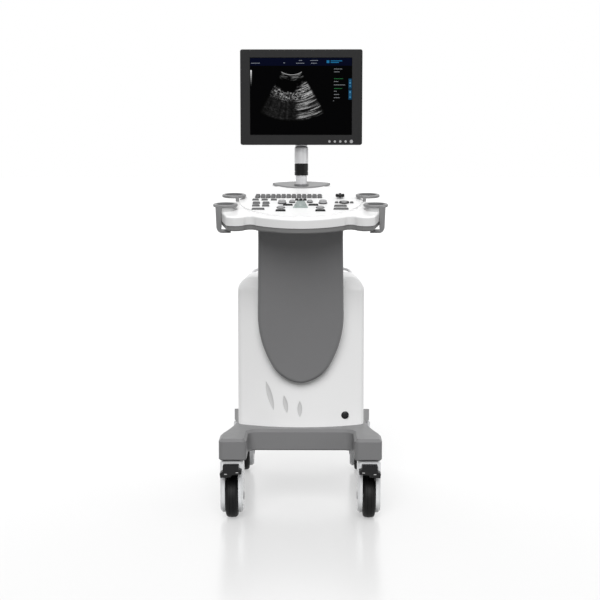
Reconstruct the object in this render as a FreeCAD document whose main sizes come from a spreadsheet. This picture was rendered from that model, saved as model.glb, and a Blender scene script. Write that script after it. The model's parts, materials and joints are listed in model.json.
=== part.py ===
import FreeCAD, Part
import math
import os
import Sketcher

# A trolley ultrasound machine: four swivel casters under a grey base, a white cabinet,
# a grey column cover that carries a sloping control console, and a monitor on a short mast.
# Millimetres. X to the operator's right, Y away from the operator, Z up; the origin is on the
# floor under the middle of the machine. Console pieces are drawn flat, then tilted together.

SIZES = {
    # casters: wheel, swivel housing and steel pins
    "wheel_radius": 62.5,
    "tyre_width": 34,
    "tyre_depth": 15,
    "hub_width": 30,
    "axle_radius": 6,
    "stem_radius": 9,
    "swivel_trail": 28,
    "running_clearance": 0.05,
    "housing_width": 64,
    "housing_top": 175,
    "fairing_radius": 48,
    "slot_width": 38,
    "slot_radius": 66,
    "slot_top": 150,
    "front_caster_x": 195,
    "rear_caster_x": 190,
    "front_axle_y": -242,
    "rear_axle_y": 295.5,
    "pedal_pin_radius": 4,
    "pedal_pin_height": 158,
    # grey base
    "base_bottom": 178,
    "base_top": 240,
    "base_wall": 3,
    "leg_inner_x": 152,
    "front_leg_outer_x": 230,
    "front_leg_y": -304,
    "front_beam_y": -178,
    "rear_beam_y": 285,
    "rear_leg_outer_x": 222,
    "rear_leg_y": 348,
    "waist_x": 190,
    "rear_slope_y": 120,
    "rear_tip_z": 190,
    "base_bevel": 8,
    "chassis_bottom": 182,
    "chassis_top": 206,
    "rail_width": 40,
    # white cabinet
    "cabinet_half_width": 186,
    "cabinet_front_y": -147,
    "cabinet_corner_y": -101,
    "cabinet_seam_y": 60,
    "cabinet_rear_y": 290,
    "cabinet_top": 679,
    "cabinet_rear_top": 659,
    "cabinet_wall": 4,
    "shoulder_radius": 40,
    "seam_gap": 0.4,
    "power_button_x": 130,
    "power_button_z": 272,
    "power_button_radius": 11,
    # grey column and the steel spine inside it
    "column_half_width": 124,
    "column_top_half_width": 120,
    "column_round_z": 580,
    "column_tip_z": 374,
    "column_front_y": -174,
    "spine_width": 100,
    "spine_depth": 70,
    "spine_front_y": -90,
    "spine_wall": 4,
    # rear handle and rear panel
    "handle_half_width": 160,
    "handle_radius": 4.5,
    "handle_bend": 32,
    "handle_reach": 54,
    "handle_root_z": 641,
    "handle_rise": 24,
    "panel_half_width": 105,
    "panel_bottom": 270,
    "panel_top": 560,
    "panel_thickness": 2,
    "fan_size": 80,
    "fan_z": 490,
    # console deck
    "deck_front_y": -358,
    "deck_front_z": 859,
    "deck_tilt": 10.8,
    "deck_length": 470,
    "deck_thickness": 26,
    "tray_thickness": 16,
    "deck_corner_radius": 14,
    "console_wall": 3,
    "panel_plate": 4,
    "panel_plug": 8,
    "plateau_half_length": 201,
    "plateau_half_width": 176,
    "plateau_centre": 222,
    # keys and dials on the console
    "key_height": 4,
    "key_root": 2,
    "key_gap": 0.8,
    "keyboard_left": -133,
    "keyboard_front": 244,
    "keyboard_pitch_x": 15,
    "keyboard_pitch_y": 10.5,
    "keyboard_cap_width": 12.6,
    "keyboard_cap_depth": 8.4,
    "round_key_radius": 12,
    "knob_shaft_radius": 3,
    "ball_radius": 16,
    "ball_y": 145,
    "ball_unit_front": 119,
    "ball_unit_rear": 200,
    "ball_unit_rise": 7,
    "dial_x": 123.5,
    "dial_y": 183,
    "dial_radius": 14.5,
    "dial_rise": 3.4,
    "pad_x": 113,
    "pad_y": 241,
    "pad_arm_low": 5,
    "pad_arm_rise": 9,
    # probe holders
    "ring_radius": 34.5,
    "ring_bore_radius": 23,
    "ring_thickness": 8,
    "ring_tilt": 6,
    "notch_radius": 30,
    "front_ring_x": 210,
    "front_ring_y": -239,
    "front_ring_z": 893,
    "rear_ring_x": 193,
    "rear_ring_y": -119,
    "rear_ring_z": 916,
    # mast
    "mast_y": 48,
    "mast_radius": 17,
    "mast_wall": 3,
    "mast_bottom": 884,
    "mast_top": 1040,
    "socket_bottom": 897,
    "socket_radius": 22,
    "socket_top": 946,
    "collar_radius": 20.5,
    "collar_bottom": 972.3,
    "collar_top": 1007.7,
    "sleeve_bottom": 1008,
    "sleeve_shoulder": 1055,
    "sleeve_top": 1060,
    "pivot_stem_radius": 10,
    # monitor
    "monitor_width": 362,
    "monitor_height": 280,
    "monitor_bottom": 1063,
    "monitor_front_y": 5,
    "bezel_depth": 20,
    "bezel_face": 3.5,
    "monitor_corner": 6,
    "screen_left": -153,
    "screen_width": 304.1,
    "screen_bottom": 1091.5,
    "screen_height": 228.1,
    "rear_cover_y": 45,
    "rear_bulge_y": 62,
    "hinge_z": 1090,
    "hinge_pin_radius": 3,
    "hinge_notch": 22,
    "monitor_button_z": 1073,
}

doc = FreeCAD.newDocument("ultrasound_machine")
sheet = doc.addObject("Spreadsheet::Sheet", "Sizes")
for row, (alias, number) in enumerate(SIZES.items(), start=1):
    sheet.set(f"A{row}", alias)
    sheet.set(f"B{row}", str(number))
    sheet.setAlias(f"B{row}", alias)
doc.recompute()

NODES = []


# ---- shared helpers ----

def value(expression):
    """The number that an expression over the sheet's aliases stands for."""
    return float(sheet.evalExpression(with_sheet(expression)))


def with_sheet(expression):
    """An expression whose aliases are written as cells of the sheet."""
    words = []
    word = ""
    for letter in str(expression) + " ":
        if letter.isalnum() or letter in "_.":
            word += letter
            continue
        if word in SIZES:
            word = "Sizes." + word
        words.append(word + letter)
        word = ""
    return "".join(words).strip()


def bind(item, **expressions):
    """Binds an object's properties to the sheet; __ in a name stands for a dot."""
    for name, expression in expressions.items():
        item.setExpression(name.replace("__", "."), with_sheet(expression))


def node(item, label):
    """Names a finished sub-part and lists it for writing."""
    item.Label = label
    NODES.append(item)
    return item


def new_body(label, at=None, tilt=None):
    """A named PartDesign body, placed at (x, y, z) and tilted about the X axis."""
    body = doc.addObject("PartDesign::Body", label)
    node(body, label)
    if tilt is not None:
        body.Placement.Rotation = FreeCAD.Rotation(FreeCAD.Vector(1, 0, 0), value(tilt))
        bind(body, Placement__Rotation__Angle=tilt)
    if at is not None:
        bind(body, Placement__Base__x=at[0], Placement__Base__y=at[1], Placement__Base__z=at[2])
    return body


def deck_body(label):
    """A body drawn on the flat deck and tilted with it."""
    return new_body(label, at=("0", "deck_front_y", "deck_front_z"), tilt="deck_tilt")


def plane_of(body, role):
    """One of the body's own origin planes."""
    return [item for item in body.Origin.OriginFeatures if item.Role == role][0]


def new_sketch(body, role, offset="0"):
    """A sketch on an origin plane of the body, moved along its normal."""
    sketch = body.newObject("Sketcher::SketchObject", f"{body.Name}_sketch")
    sketch.AttachmentSupport = (plane_of(body, role), [""])
    sketch.MapMode = "FlatFace"
    bind(sketch, AttachmentOffset__Base__z=offset)
    return sketch


def add_fixed(sketch, shapes, rules):
    """Adds geometry and its constraints; a rule with an expression is bound to the sheet."""
    for shape, is_guide in shapes:
        sketch.addGeometry(shape, is_guide)
    first = sketch.ConstraintCount
    sketch.addConstraint([rule for rule, expression in rules])
    for number, (rule, expression) in enumerate(rules):
        if expression is not None:
            sketch.setExpression(f"Constraints[{first + number}]", with_sheet(expression))


def fixed_at(geometry, end, x, y):
    """Rules that hold a sketch point at two expressions, measured from the sketch's origin."""
    across = Sketcher.Constraint("DistanceX", -1, 1, geometry, end, value(x))
    along = Sketcher.Constraint("DistanceY", -1, 1, geometry, end, value(y))
    return [(across, x), (along, y)]


def add_outline(sketch, path, closed=True):
    """An outline. A point is (x, y) after a straight run, or (x, y, via_x, via_y) after an
    arc through the via point. In a closed outline the first point also ends it."""
    shapes = []
    rules = []
    ends = []
    marks = []
    first_number = sketch.GeometryCount
    runs = len(path) if closed else len(path) - 1
    for number in range(runs):
        here = path[number]
        there = path[(number + 1) % len(path)]
        first = FreeCAD.Vector(value(here[0]), value(here[1]), 0)
        last = FreeCAD.Vector(value(there[0]), value(there[1]), 0)
        if len(there) == 2:
            shapes.append((Part.LineSegment(first, last), False))
            ends.append((1, 2))
            continue
        via = FreeCAD.Vector(value(there[2]), value(there[3]), 0)
        shapes.append((Part.Arc(first, via, last), False))
        turn = (via - first).cross(last - via)
        ends.append((1, 2) if turn.z > 0 else (2, 1))
        marks.append((number, via, there[2], there[3]))
    for number, via, via_x, via_y in marks:
        mark = first_number + len(shapes)
        shapes.append((Part.Point(via), True))
        on_arc = Sketcher.Constraint("PointOnObject", mark, 1, first_number + number)
        rules.append((on_arc, None))
        rules += fixed_at(mark, 1, via_x, via_y)
    for number in range(runs):
        geometry = first_number + number
        start, finish = ends[number]
        rules += fixed_at(geometry, start, path[number][0], path[number][1])
        if number == runs - 1 and not closed:
            rules += fixed_at(geometry, finish, path[number + 1][0], path[number + 1][1])
            continue
        following = (number + 1) % runs
        meeting = Sketcher.Constraint(
            "Coincident", geometry, finish, first_number + following, ends[following][0]
        )
        rules.append((meeting, None))
    add_fixed(sketch, shapes, rules)


def add_rectangle(sketch, left, bottom, right, top):
    """A closed rectangle between two corners."""
    add_outline(sketch, [(left, bottom), (right, bottom), (right, top), (left, top)])


def add_circle(sketch, x, y, radius):
    """A circle with its centre and radius bound to the sheet."""
    centre = FreeCAD.Vector(value(x), value(y), 0)
    circle = Part.Circle(centre, FreeCAD.Vector(0, 0, 1), value(radius))
    geometry = sketch.GeometryCount
    rules = fixed_at(geometry, 3, x, y)
    rules.append((Sketcher.Constraint("Radius", geometry, value(radius)), radius))
    add_fixed(sketch, [(circle, False)], rules)


def settle(feature):
    """Works a feature out and stops if it failed."""
    doc.recompute()
    if "Invalid" in feature.State or feature.Shape.isNull() or not feature.Shape.isValid():
        raise RuntimeError(f"{feature.Name} failed")
    return feature


def pad(body, sketch, length, both_sides=False, taper=0):
    """Adds the sketch's area, pushed along its normal or evenly to both sides."""
    feature = body.newObject("PartDesign::Pad", f"{body.Name}_pad")
    feature.Profile = sketch
    bind(feature, Length=length)
    feature.TaperAngle = taper
    if both_sides:
        feature.SideType = "Symmetric"
    return settle(feature)


def pocket(body, sketch, length, both_sides=False, backwards=False):
    """Cuts the sketch's area against its normal, and makes sure that something was cut."""
    before = body.Shape.Volume
    feature = body.newObject("PartDesign::Pocket", f"{body.Name}_pocket")
    feature.Profile = sketch
    bind(feature, Length=length)
    if both_sides:
        feature.SideType = "Symmetric"
    feature.Reversed = backwards
    settle(feature)
    if body.Shape.Volume > before - 1:
        raise RuntimeError(f"{body.Label}: {feature.Name} cuts nothing")
    return feature


def revolve(body, sketch):
    """Turns the sketch's area once round its vertical or horizontal axis."""
    feature = body.newObject("PartDesign::Revolution", f"{body.Name}_revolution")
    feature.Profile = sketch[0]
    feature.ReferenceAxis = sketch
    feature.Angle = 360
    return settle(feature)


def edges_where(feature, chosen):
    """Names of the edges whose lowest and highest corners pass a test."""
    names = []
    for number, edge in enumerate(feature.Shape.Edges, start=1):
        box = edge.BoundBox
        if chosen(box):
            names.append(f"Edge{number}")
    return names


def faces_where(feature, chosen):
    """Names of the faces whose boxes pass a test."""
    names = []
    for number, face in enumerate(feature.Shape.Faces, start=1):
        if chosen(face.BoundBox):
            names.append(f"Face{number}")
    return names


def fillet(body, feature, chosen, radius):
    """Rounds the chosen edges."""
    dressed = body.newObject("PartDesign::Fillet", f"{body.Name}_fillet")
    dressed.Base = (feature, edges_where(feature, chosen))
    bind(dressed, Radius=radius)
    return settle(dressed)


def chamfer(body, feature, chosen, size):
    """Bevels the chosen edges."""
    dressed = body.newObject("PartDesign::Chamfer", f"{body.Name}_chamfer")
    dressed.Base = (feature, edges_where(feature, chosen))
    bind(dressed, Size=size)
    return settle(dressed)


def hollow(body, feature, open_faces, wall):
    """Leaves a wall of even thickness inside the outer shape, open at the given faces."""
    shell = body.newObject("PartDesign::Thickness", f"{body.Name}_shell")
    shell.Base = (feature, faces_where(feature, open_faces))
    shell.Reversed = True
    bind(shell, Value=wall)
    return settle(shell)


def same(first, second):
    """Whether two lengths are equal to a hundredth."""
    return abs(first - second) < 0.01


def upright(box):
    """Whether an edge stands straight up."""
    return box.XLength < 0.01 and box.YLength < 0.01


def level_at(height):
    """A test for edges or faces that lie in the plane at a height."""
    return lambda box: box.ZLength < 0.01 and same(box.ZMax, height)


def mirrored(half):
    """A closed outline from its right half, which runs from the Y axis to the Y axis."""
    left = []
    for number in range(len(half) - 1, 0, -1):
        point = half[number]
        target = half[number - 1]
        step = (f"-({target[0]})", target[1])
        if len(point) == 4:
            step += (f"-({point[2]})", point[3])
        left.append(step)
    closing = left.pop()
    start = half[0]
    if len(closing) == 4:
        start = (start[0], start[1], closing[2], closing[3])
    return [start] + list(half[1:]) + left


def part_box(name, low, high):
    """A Part box between two corners given as expressions."""
    box = doc.addObject("Part::Box", name)
    bind(
        box,
        Length=f"({high[0]}) - ({low[0]})",
        Width=f"({high[1]}) - ({low[1]})",
        Height=f"({high[2]}) - ({low[2]})",
        Placement__Base__x=low[0],
        Placement__Base__y=low[1],
        Placement__Base__z=low[2],
    )
    return box


def part_cylinder(name, x, y, bottom, top, radius):
    """An upright Part cylinder."""
    cylinder = doc.addObject("Part::Cylinder", name)
    bind(
        cylinder,
        Radius=radius,
        Height=f"({top}) - ({bottom})",
        Placement__Base__x=x,
        Placement__Base__y=y,
        Placement__Base__z=bottom,
    )
    return cylinder


def fuse(name, shapes):
    """One shape from several that touch."""
    joined = doc.addObject("Part::MultiFuse", name)
    joined.Shapes = shapes
    joined.Refine = True
    return joined


def cut(name, base, tool):
    """A shape less a tool."""
    result = doc.addObject("Part::Cut", name)
    result.Base = base
    result.Tool = tool
    return result


# ---- casters ----

def caster_housing(label, x, swivel_y):
    """The white swivel housing: two side fairings joined above the wheel."""
    body = new_body(label, at=(x, swivel_y, "0"))
    side = new_sketch(body, "YZ_Plane")
    add_outline(side, [
        ("-22", "housing_top"),
        ("-22", "128"),
        ("swivel_trail - fairing_radius", "wheel_radius"),
        (
            "swivel_trail + fairing_radius", "wheel_radius",
            "swivel_trail", "wheel_radius - fairing_radius",
        ),
        ("80", "110"),
        ("46", "housing_top", "71", "150"),
    ])
    block = pad(body, side, "housing_width", both_sides=True)
    half_width = value("housing_width / 2")
    rims = lambda box: same(abs(box.XMax), half_width) and box.XLength < 0.01
    chamfer(body, block, rims, "6")
    slot = new_sketch(body, "YZ_Plane")
    add_outline(slot, [
        ("-40", "0"),
        ("swivel_trail + slot_radius", "0"),
        ("swivel_trail + slot_radius", "wheel_radius"),
        (
            "swivel_trail", "wheel_radius + slot_radius",
            "swivel_trail + 0.7071 * slot_radius", "wheel_radius + 0.7071 * slot_radius",
        ),
        ("10", "slot_top"),
        ("-40", "slot_top"),
    ])
    pocket(body, slot, "slot_width", both_sides=True)
    axle_hole = new_sketch(body, "YZ_Plane")
    add_circle(axle_hole, "swivel_trail", "wheel_radius", "axle_radius")
    pocket(body, axle_hole, "housing_width + 2", both_sides=True)
    stem_hole = new_sketch(body, "XY_Plane", "housing_top")
    add_circle(stem_hole, "0", "0", "stem_radius")
    pocket(body, stem_hole, "housing_top - slot_top")
    return body


def caster_pins(label, x, swivel_y, with_pedal):
    """The steel axle, the swivel stem and, under a pedal, the pedal's hinge pin."""
    body = new_body(label, at=(x, swivel_y, "0"))
    axle = new_sketch(body, "YZ_Plane")
    add_circle(axle, "swivel_trail", "wheel_radius", "axle_radius")
    pad(body, axle, "housing_width - 4", both_sides=True)
    stem = new_sketch(body, "XY_Plane", "slot_top")
    add_circle(stem, "0", "0", "stem_radius")
    pad(body, stem, "chassis_top - slot_top - 2")
    if with_pedal:
        hinge = new_sketch(body, "XZ_Plane", "22")
        add_circle(hinge, "0", "pedal_pin_height", "pedal_pin_radius")
        pad(body, hinge, "28")
    return body


def wheel_hub(label, x, axle_y):
    """The wheel centre: a web with a rim and a bored boss."""
    body = new_body(label, at=(x, axle_y, "wheel_radius"))
    profile = new_sketch(body, "XZ_Plane")
    rim = "wheel_radius - tyre_depth"
    add_outline(profile, [
        ("-hub_width / 2", "axle_radius + running_clearance"),
        ("hub_width / 2", "axle_radius + running_clearance"),
        ("hub_width / 2", "axle_radius + 8"),
        ("6", "axle_radius + 11"),
        ("6", f"{rim} - 9"),
        ("hub_width / 2", f"{rim} - 5"),
        ("hub_width / 2", rim),
        ("-hub_width / 2", rim),
        ("-hub_width / 2", f"{rim} - 5"),
        ("-6", f"{rim} - 9"),
        ("-6", "axle_radius + 11"),
        ("-hub_width / 2", "axle_radius + 8"),
    ])
    revolve(body, (profile, ["H_Axis"]))
    return body


def wheel_tyre(label, x, axle_y):
    """The tyre: a band with a crowned tread and rounded shoulders."""
    body = new_body(label, at=(x, axle_y, "wheel_radius"))
    profile = new_sketch(body, "XZ_Plane")
    rim = "wheel_radius - tyre_depth"
    add_outline(profile, [
        ("-tyre_width / 2 + 2", rim),
        ("tyre_width / 2 - 2", rim),
        ("tyre_width / 2", f"{rim} + 2"),
        ("tyre_width / 2", "wheel_radius - 9"),
        (
            "tyre_width / 2 - 8", "wheel_radius - 0.8",
            "tyre_width / 2 - 2.2", "wheel_radius - 3.2",
        ),
        ("8 - tyre_width / 2", "wheel_radius - 0.8", "0", "wheel_radius"),
        (
            "-tyre_width / 2", "wheel_radius - 9",
            "2.2 - tyre_width / 2", "wheel_radius - 3.2",
        ),
        ("-tyre_width / 2", f"{rim} + 2"),
    ])
    revolve(body, (profile, ["H_Axis"]))
    return body


def caster_pedal(label, side, x, swivel_y):
    """The two-lobed rocker that locks and frees a front wheel; the outer lobe sits lower."""
    body = new_body(label, at=(x, swivel_y, "pedal_pin_height"))
    front = new_sketch(body, "XZ_Plane", "24")
    lobes = [
        (22, 10), (-22, 10), (-22, -1), (-30, -4), (-30, -14), (-3, -16), (0, -22),
        (29, -24), (31, -12), (22, -6),
    ]
    outline = [(f"{side * across}", f"{up}") for across, up in lobes]
    add_outline(front, outline)
    block = pad(body, front, "30")
    fillet(body, block, lambda box: same(box.YMin, -54) and box.YLength < 0.01, "2.5")
    bore = new_sketch(body, "XZ_Plane", "24")
    add_circle(bore, "0", "0", "pedal_pin_radius + running_clearance")
    pocket(body, bore, "28", backwards=True)
    return body


CASTERS = [
    ("front_left", -1, "-front_caster_x", "front_axle_y", True),
    ("front_right", 1, "front_caster_x", "front_axle_y", True),
    ("rear_left", -1, "-rear_caster_x", "rear_axle_y", False),
    ("rear_right", 1, "rear_caster_x", "rear_axle_y", False),
]
for place, side, caster_x, axle_y, has_pedal in CASTERS:
    swivel_y = f"{axle_y} - swivel_trail"
    caster_housing(f"caster_{place}_housing", caster_x, swivel_y)
    caster_pins(f"caster_{place}_pins", caster_x, swivel_y, has_pedal)
    wheel_hub(f"caster_{place}_hub", caster_x, axle_y)
    wheel_tyre(f"caster_{place}_tyre", caster_x, axle_y)
    if has_pedal:
        caster_pedal(f"caster_{place}_pedal", side, caster_x, swivel_y)


# ---- base ----

def base_outline(inset, tip_cut):
    """Half of the base's plan, moved inwards; leg tips are cut off by tip_cut when hollowing."""
    outer = f"front_leg_outer_x - {inset}"
    rear_outer = f"rear_leg_outer_x - {inset}"
    inner = f"leg_inner_x + {inset}"
    front = f"front_leg_y + {inset}"
    rear = f"rear_leg_y - {inset}"
    half = [("0", f"front_beam_y + {inset}"), (inner, f"front_beam_y + {inset}")]
    if tip_cut:
        half += [(inner, f"{front} + {tip_cut}"), (f"{inner} + {tip_cut}", front)]
        half += [(f"{outer} - {tip_cut}", front), (outer, f"{front} + {tip_cut}")]
    else:
        half += [(inner, front), (outer, front)]
    half += [
        (outer, "-225"),
        (f"waist_x - {inset}", "10", f"waist_x + 13 - {inset}", "-110"),
        (f"{rear_outer} - 3", "250", f"waist_x + 8 - {inset}", "140"),
    ]
    if tip_cut:
        half += [(rear_outer, f"{rear} - {tip_cut}"), (f"{rear_outer} - {tip_cut}", rear)]
        half += [(f"{inner} + {tip_cut}", rear), (inner, f"{rear} - {tip_cut}")]
    else:
        half += [(rear_outer, rear), (inner, rear)]
    half += [(inner, f"rear_beam_y - {inset}"), ("0", f"rear_beam_y - {inset}")]
    return mirrored(half)


def base_cover():
    """The grey moulded cover: two front legs, a waist and two splayed rear legs."""
    body = new_body("base_cover")
    plan = new_sketch(body, "XY_Plane", "base_bottom")
    add_outline(plan, base_outline("0", 0))
    block = pad(body, plan, "base_top - base_bottom")
    beams = (value("front_beam_y"), value("rear_beam_y"))
    inner_corner = lambda box: upright(box) and any(same(box.YMin, y) for y in beams)
    block = fillet(body, block, inner_corner, "28")
    legs = (value("front_leg_y"), value("rear_leg_y"))
    leg_corner = lambda box: upright(box) and any(same(box.YMin, y) for y in legs)
    block = fillet(body, block, leg_corner, "14")
    block = chamfer(body, block, level_at(value("base_top")), "base_bevel")
    for offset, backwards in (("waist_x - 2", True), ("2 - waist_x", False)):
        slope = new_sketch(body, "YZ_Plane", offset)
        add_outline(slope, [
            ("rear_slope_y", "base_top"),
            ("rear_leg_y + 12", "rear_tip_z"),
            ("rear_leg_y + 12", "base_top + 10"),
            ("rear_slope_y", "base_top + 10"),
        ])
        block = pocket(body, slope, "60", backwards=backwards)
    tips = lambda box: level_at(value("base_bottom"))(box) and box.YMax < -200
    chamfer(body, block, lambda box: tips(box) and abs(box.XMax) > 228, "4")
    cavity = new_sketch(body, "XY_Plane", "base_bottom")
    front_part = base_outline("(base_wall + 1)", 8)[:9]
    add_outline(cavity, mirrored(front_part + [("waist_x + 4", "180"), ("0", "180")]))
    pocket(body, cavity, "chassis_top + 1 - base_bottom", backwards=True)
    for offset, backwards in (("156", True), ("-156", False)):
        leg_cavity = new_sketch(body, "YZ_Plane", offset)
        add_outline(leg_cavity, [
            ("170", "base_bottom - 1"),
            ("rear_leg_y - 8", "base_bottom - 1"),
            ("rear_leg_y - 8", "rear_tip_z - 1"),
            ("270", "chassis_top + 1"),
            ("170", "chassis_top + 1"),
        ])
        pocket(body, leg_cavity, "48", backwards=backwards)
    deep_cavity = new_sketch(body, "XY_Plane", "base_bottom")
    add_outline(deep_cavity, mirrored([
        ("0", "front_beam_y + 8"),
        ("leg_inner_x + 8", "front_beam_y + 8"),
        ("leg_inner_x + 8", "front_leg_y + 12"),
        ("front_leg_outer_x - 10", "front_leg_y + 12"),
        ("front_leg_outer_x - 10", "-215"),
        ("waist_x - 8", "-60"),
        ("waist_x - 8", "rear_beam_y - 6"),
        ("0", "rear_beam_y - 6"),
    ]))
    pocket(body, deep_cavity, "base_top - base_wall - base_bottom", backwards=True)
    spine_hole = new_sketch(body, "XY_Plane", "base_top")
    add_rectangle(
        spine_hole,
        "-spine_width / 2 - 0.5", "spine_front_y - 0.5",
        "spine_width / 2 + 0.5", "spine_front_y + spine_depth + 0.5",
    )
    pocket(body, spine_hole, "base_wall + 1")
    return body


def base_chassis():
    """The welded steel frame inside the base, with a bored socket over each caster."""
    low = "chassis_bottom"
    high = "chassis_top"
    rear_high = "chassis_top - 7"
    beams = [
        part_box("front_crossbar", ("-198", "-172", low), ("198", "-132", high)),
        part_box("rear_crossbar", ("-190", "150", low), ("190", "190", high)),
        part_box("left_rail", ("-100", "-140", low), ("-60", "160", high)),
        part_box("right_rail", ("60", "-140", low), ("100", "160", high)),
        part_box("spine_seat", ("-70", "-140", low), ("70", "10", high)),
    ]
    sockets = []
    for place, side, caster_x, axle_y, has_pedal in CASTERS:
        swivel_y = f"{axle_y} - swivel_trail"
        if has_pedal:
            left = f"{caster_x} - rail_width / 2 - ({side} * 7)"
            beams.append(part_box(
                f"{place}_arm", (left, "-296", low), (f"{left} + rail_width", "-160", high),
            ))
        else:
            left = f"{side} * 176 - 18"
            beams.append(part_box(
                f"{place}_arm", (left, "150", low), (f"{left} + 36", "288", rear_high),
            ))
            beams.append(part_box(
                f"{place}_block",
                (f"{caster_x} - 13", "240", low), (f"{caster_x} + 13", "288", rear_high),
            ))
        sockets.append(part_cylinder(
            f"{place}_socket", caster_x, swivel_y, f"{low} - 1", f"{high} + 1",
            "stem_radius + running_clearance",
        ))
    frame = fuse("chassis_frame", beams)
    return node(cut("base_chassis", frame, fuse("caster_sockets", sockets)), "base_chassis")


base_cover()
base_chassis()


# ---- cabinet ----

def cut_cabinet_slope(body):
    """The cabinet's top falls a little towards the rear."""
    slope = new_sketch(body, "YZ_Plane")
    add_outline(slope, [
        ("cabinet_front_y", "cabinet_top"),
        ("cabinet_rear_y", "cabinet_rear_top"),
        ("cabinet_rear_y + 20", "cabinet_rear_top"),
        ("cabinet_rear_y + 20", "cabinet_top + 20"),
        ("cabinet_front_y", "cabinet_top + 20"),
    ])
    return pocket(body, slope, "2 * cabinet_half_width + 10", both_sides=True)


def side_shoulder(box):
    """The long top edges on the cabinet's left and right."""
    half_width = value("cabinet_half_width")
    return same(abs(box.XMax), half_width) and box.XLength < 0.01 and box.ZMin > 600


def add_leaf(sketch, length, width, lean):
    """A leaf outline about the sketch's origin: two arcs between tips, the top tip leaning
    to the left by lean degrees."""
    along = (-math.sin(math.radians(lean)), math.cos(math.radians(lean)))
    reach = length / 2
    bulge = width / 2
    top = (f"{along[0] * reach:.3f}", f"{along[1] * reach:.3f}")
    bottom = (f"{-along[0] * reach:.3f}", f"{-along[1] * reach:.3f}")
    right = (f"{along[1] * bulge:.3f}", f"{-along[0] * bulge:.3f}")
    left = (f"{-along[1] * bulge:.3f}", f"{along[0] * bulge:.3f}")
    add_outline(sketch, [top + left, bottom + right])


LEAVES = [(-91, 332, 90, 16, 15.5), (-45, 308, 54, 14, 10), (-3, 294, 50, 14, 0)]


def cabinet_front_shell():
    """The white front shell, bowed towards the operator, with three leaf-shaped recesses."""
    body = new_body("cabinet_front_shell")
    plan = new_sketch(body, "XY_Plane", "base_top")
    add_outline(plan, [
        ("-cabinet_half_width", "cabinet_seam_y"),
        ("-cabinet_half_width", "cabinet_corner_y"),
        ("cabinet_half_width", "cabinet_corner_y", "0", "cabinet_front_y"),
        ("cabinet_half_width", "cabinet_seam_y"),
    ])
    pad(body, plan, "cabinet_top - base_top")
    block = cut_cabinet_slope(body)
    corner_y = value("cabinet_corner_y")
    front_corner = lambda box: upright(box) and same(box.YMin, corner_y)
    block = fillet(body, block, front_corner, "24")
    block = fillet(body, block, side_shoulder, "shoulder_radius")
    seam = value("cabinet_seam_y")
    bottom = level_at(value("base_top"))
    open_side = lambda box: bottom(box) or (box.YLength < 0.01 and same(box.YMax, seam))
    hollow(body, block, open_side, "cabinet_wall")
    spine_hole = new_sketch(body, "XY_Plane", "cabinet_top + 5")
    add_rectangle(
        spine_hole,
        "-spine_width / 2 - 2", "spine_front_y - 2",
        "spine_width / 2 + 2", "spine_front_y + spine_depth + 2",
    )
    pocket(body, spine_hole, "30")
    half_width = value("cabinet_half_width")
    bow = value("cabinet_corner_y - cabinet_front_y")
    bow_radius = (half_width ** 2 + bow ** 2) / (2 * bow)
    for x, z, length, width, lean in LEAVES:
        turn = math.asin(x / bow_radius)
        reach = bow_radius - 2
        floor = value("cabinet_front_y") + bow_radius - reach * math.cos(turn)
        leaf = new_sketch(body, "XZ_Plane", f"{-floor:.3f}")
        leaf.AttachmentOffset.Rotation = FreeCAD.Rotation(
            FreeCAD.Vector(0, 1, 0), math.degrees(turn)
        )
        bind(leaf, AttachmentOffset__Base__x=f"{reach * math.sin(turn):.3f}")
        bind(leaf, AttachmentOffset__Base__y=f"{z}")
        add_leaf(leaf, length, width, lean)
        pocket(body, leaf, "15", backwards=True)
    button_hole = new_sketch(body, "XZ_Plane", "-cabinet_corner_y + 60")
    add_circle(button_hole, "power_button_x", "power_button_z", "power_button_radius + 0.4")
    pocket(body, button_hole, "80")
    return body


def cabinet_rear_shell():
    """The white rear shell with a square opening for the connector panel."""
    body = new_body("cabinet_rear_shell")
    plan = new_sketch(body, "XY_Plane", "base_top")
    add_rectangle(
        plan,
        "-cabinet_half_width", "cabinet_seam_y + seam_gap",
        "cabinet_half_width", "cabinet_rear_y",
    )
    pad(body, plan, "cabinet_top - base_top")
    block = cut_cabinet_slope(body)
    rear = value("cabinet_rear_y")
    block = fillet(body, block, lambda box: upright(box) and same(box.YMin, rear), "30")
    block = fillet(body, block, side_shoulder, "shoulder_radius")
    seam = value("cabinet_seam_y + seam_gap")
    bottom = level_at(value("base_top"))
    open_side = lambda box: bottom(box) or (box.YLength < 0.01 and same(box.YMax, seam))
    hollow(body, block, open_side, "cabinet_wall")
    opening = new_sketch(body, "XZ_Plane", "-cabinet_rear_y - 5")
    add_rectangle(
        opening, "-panel_half_width", "panel_bottom", "panel_half_width", "panel_top",
    )
    pocket(body, opening, "20", backwards=True)
    return body


def power_button():
    """The round black push button low on the front, with a shallow dome."""
    body = new_body("power_button", at=("power_button_x", "-129", "power_button_z"))
    profile = new_sketch(body, "XY_Plane")
    add_outline(profile, [
        ("0", "0"),
        ("power_button_radius", "2.5", "power_button_radius * 0.6", "0.7"),
        ("power_button_radius", "20"),
        ("0", "20"),
    ])
    revolve(body, (profile, ["V_Axis"]))
    return body


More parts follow.
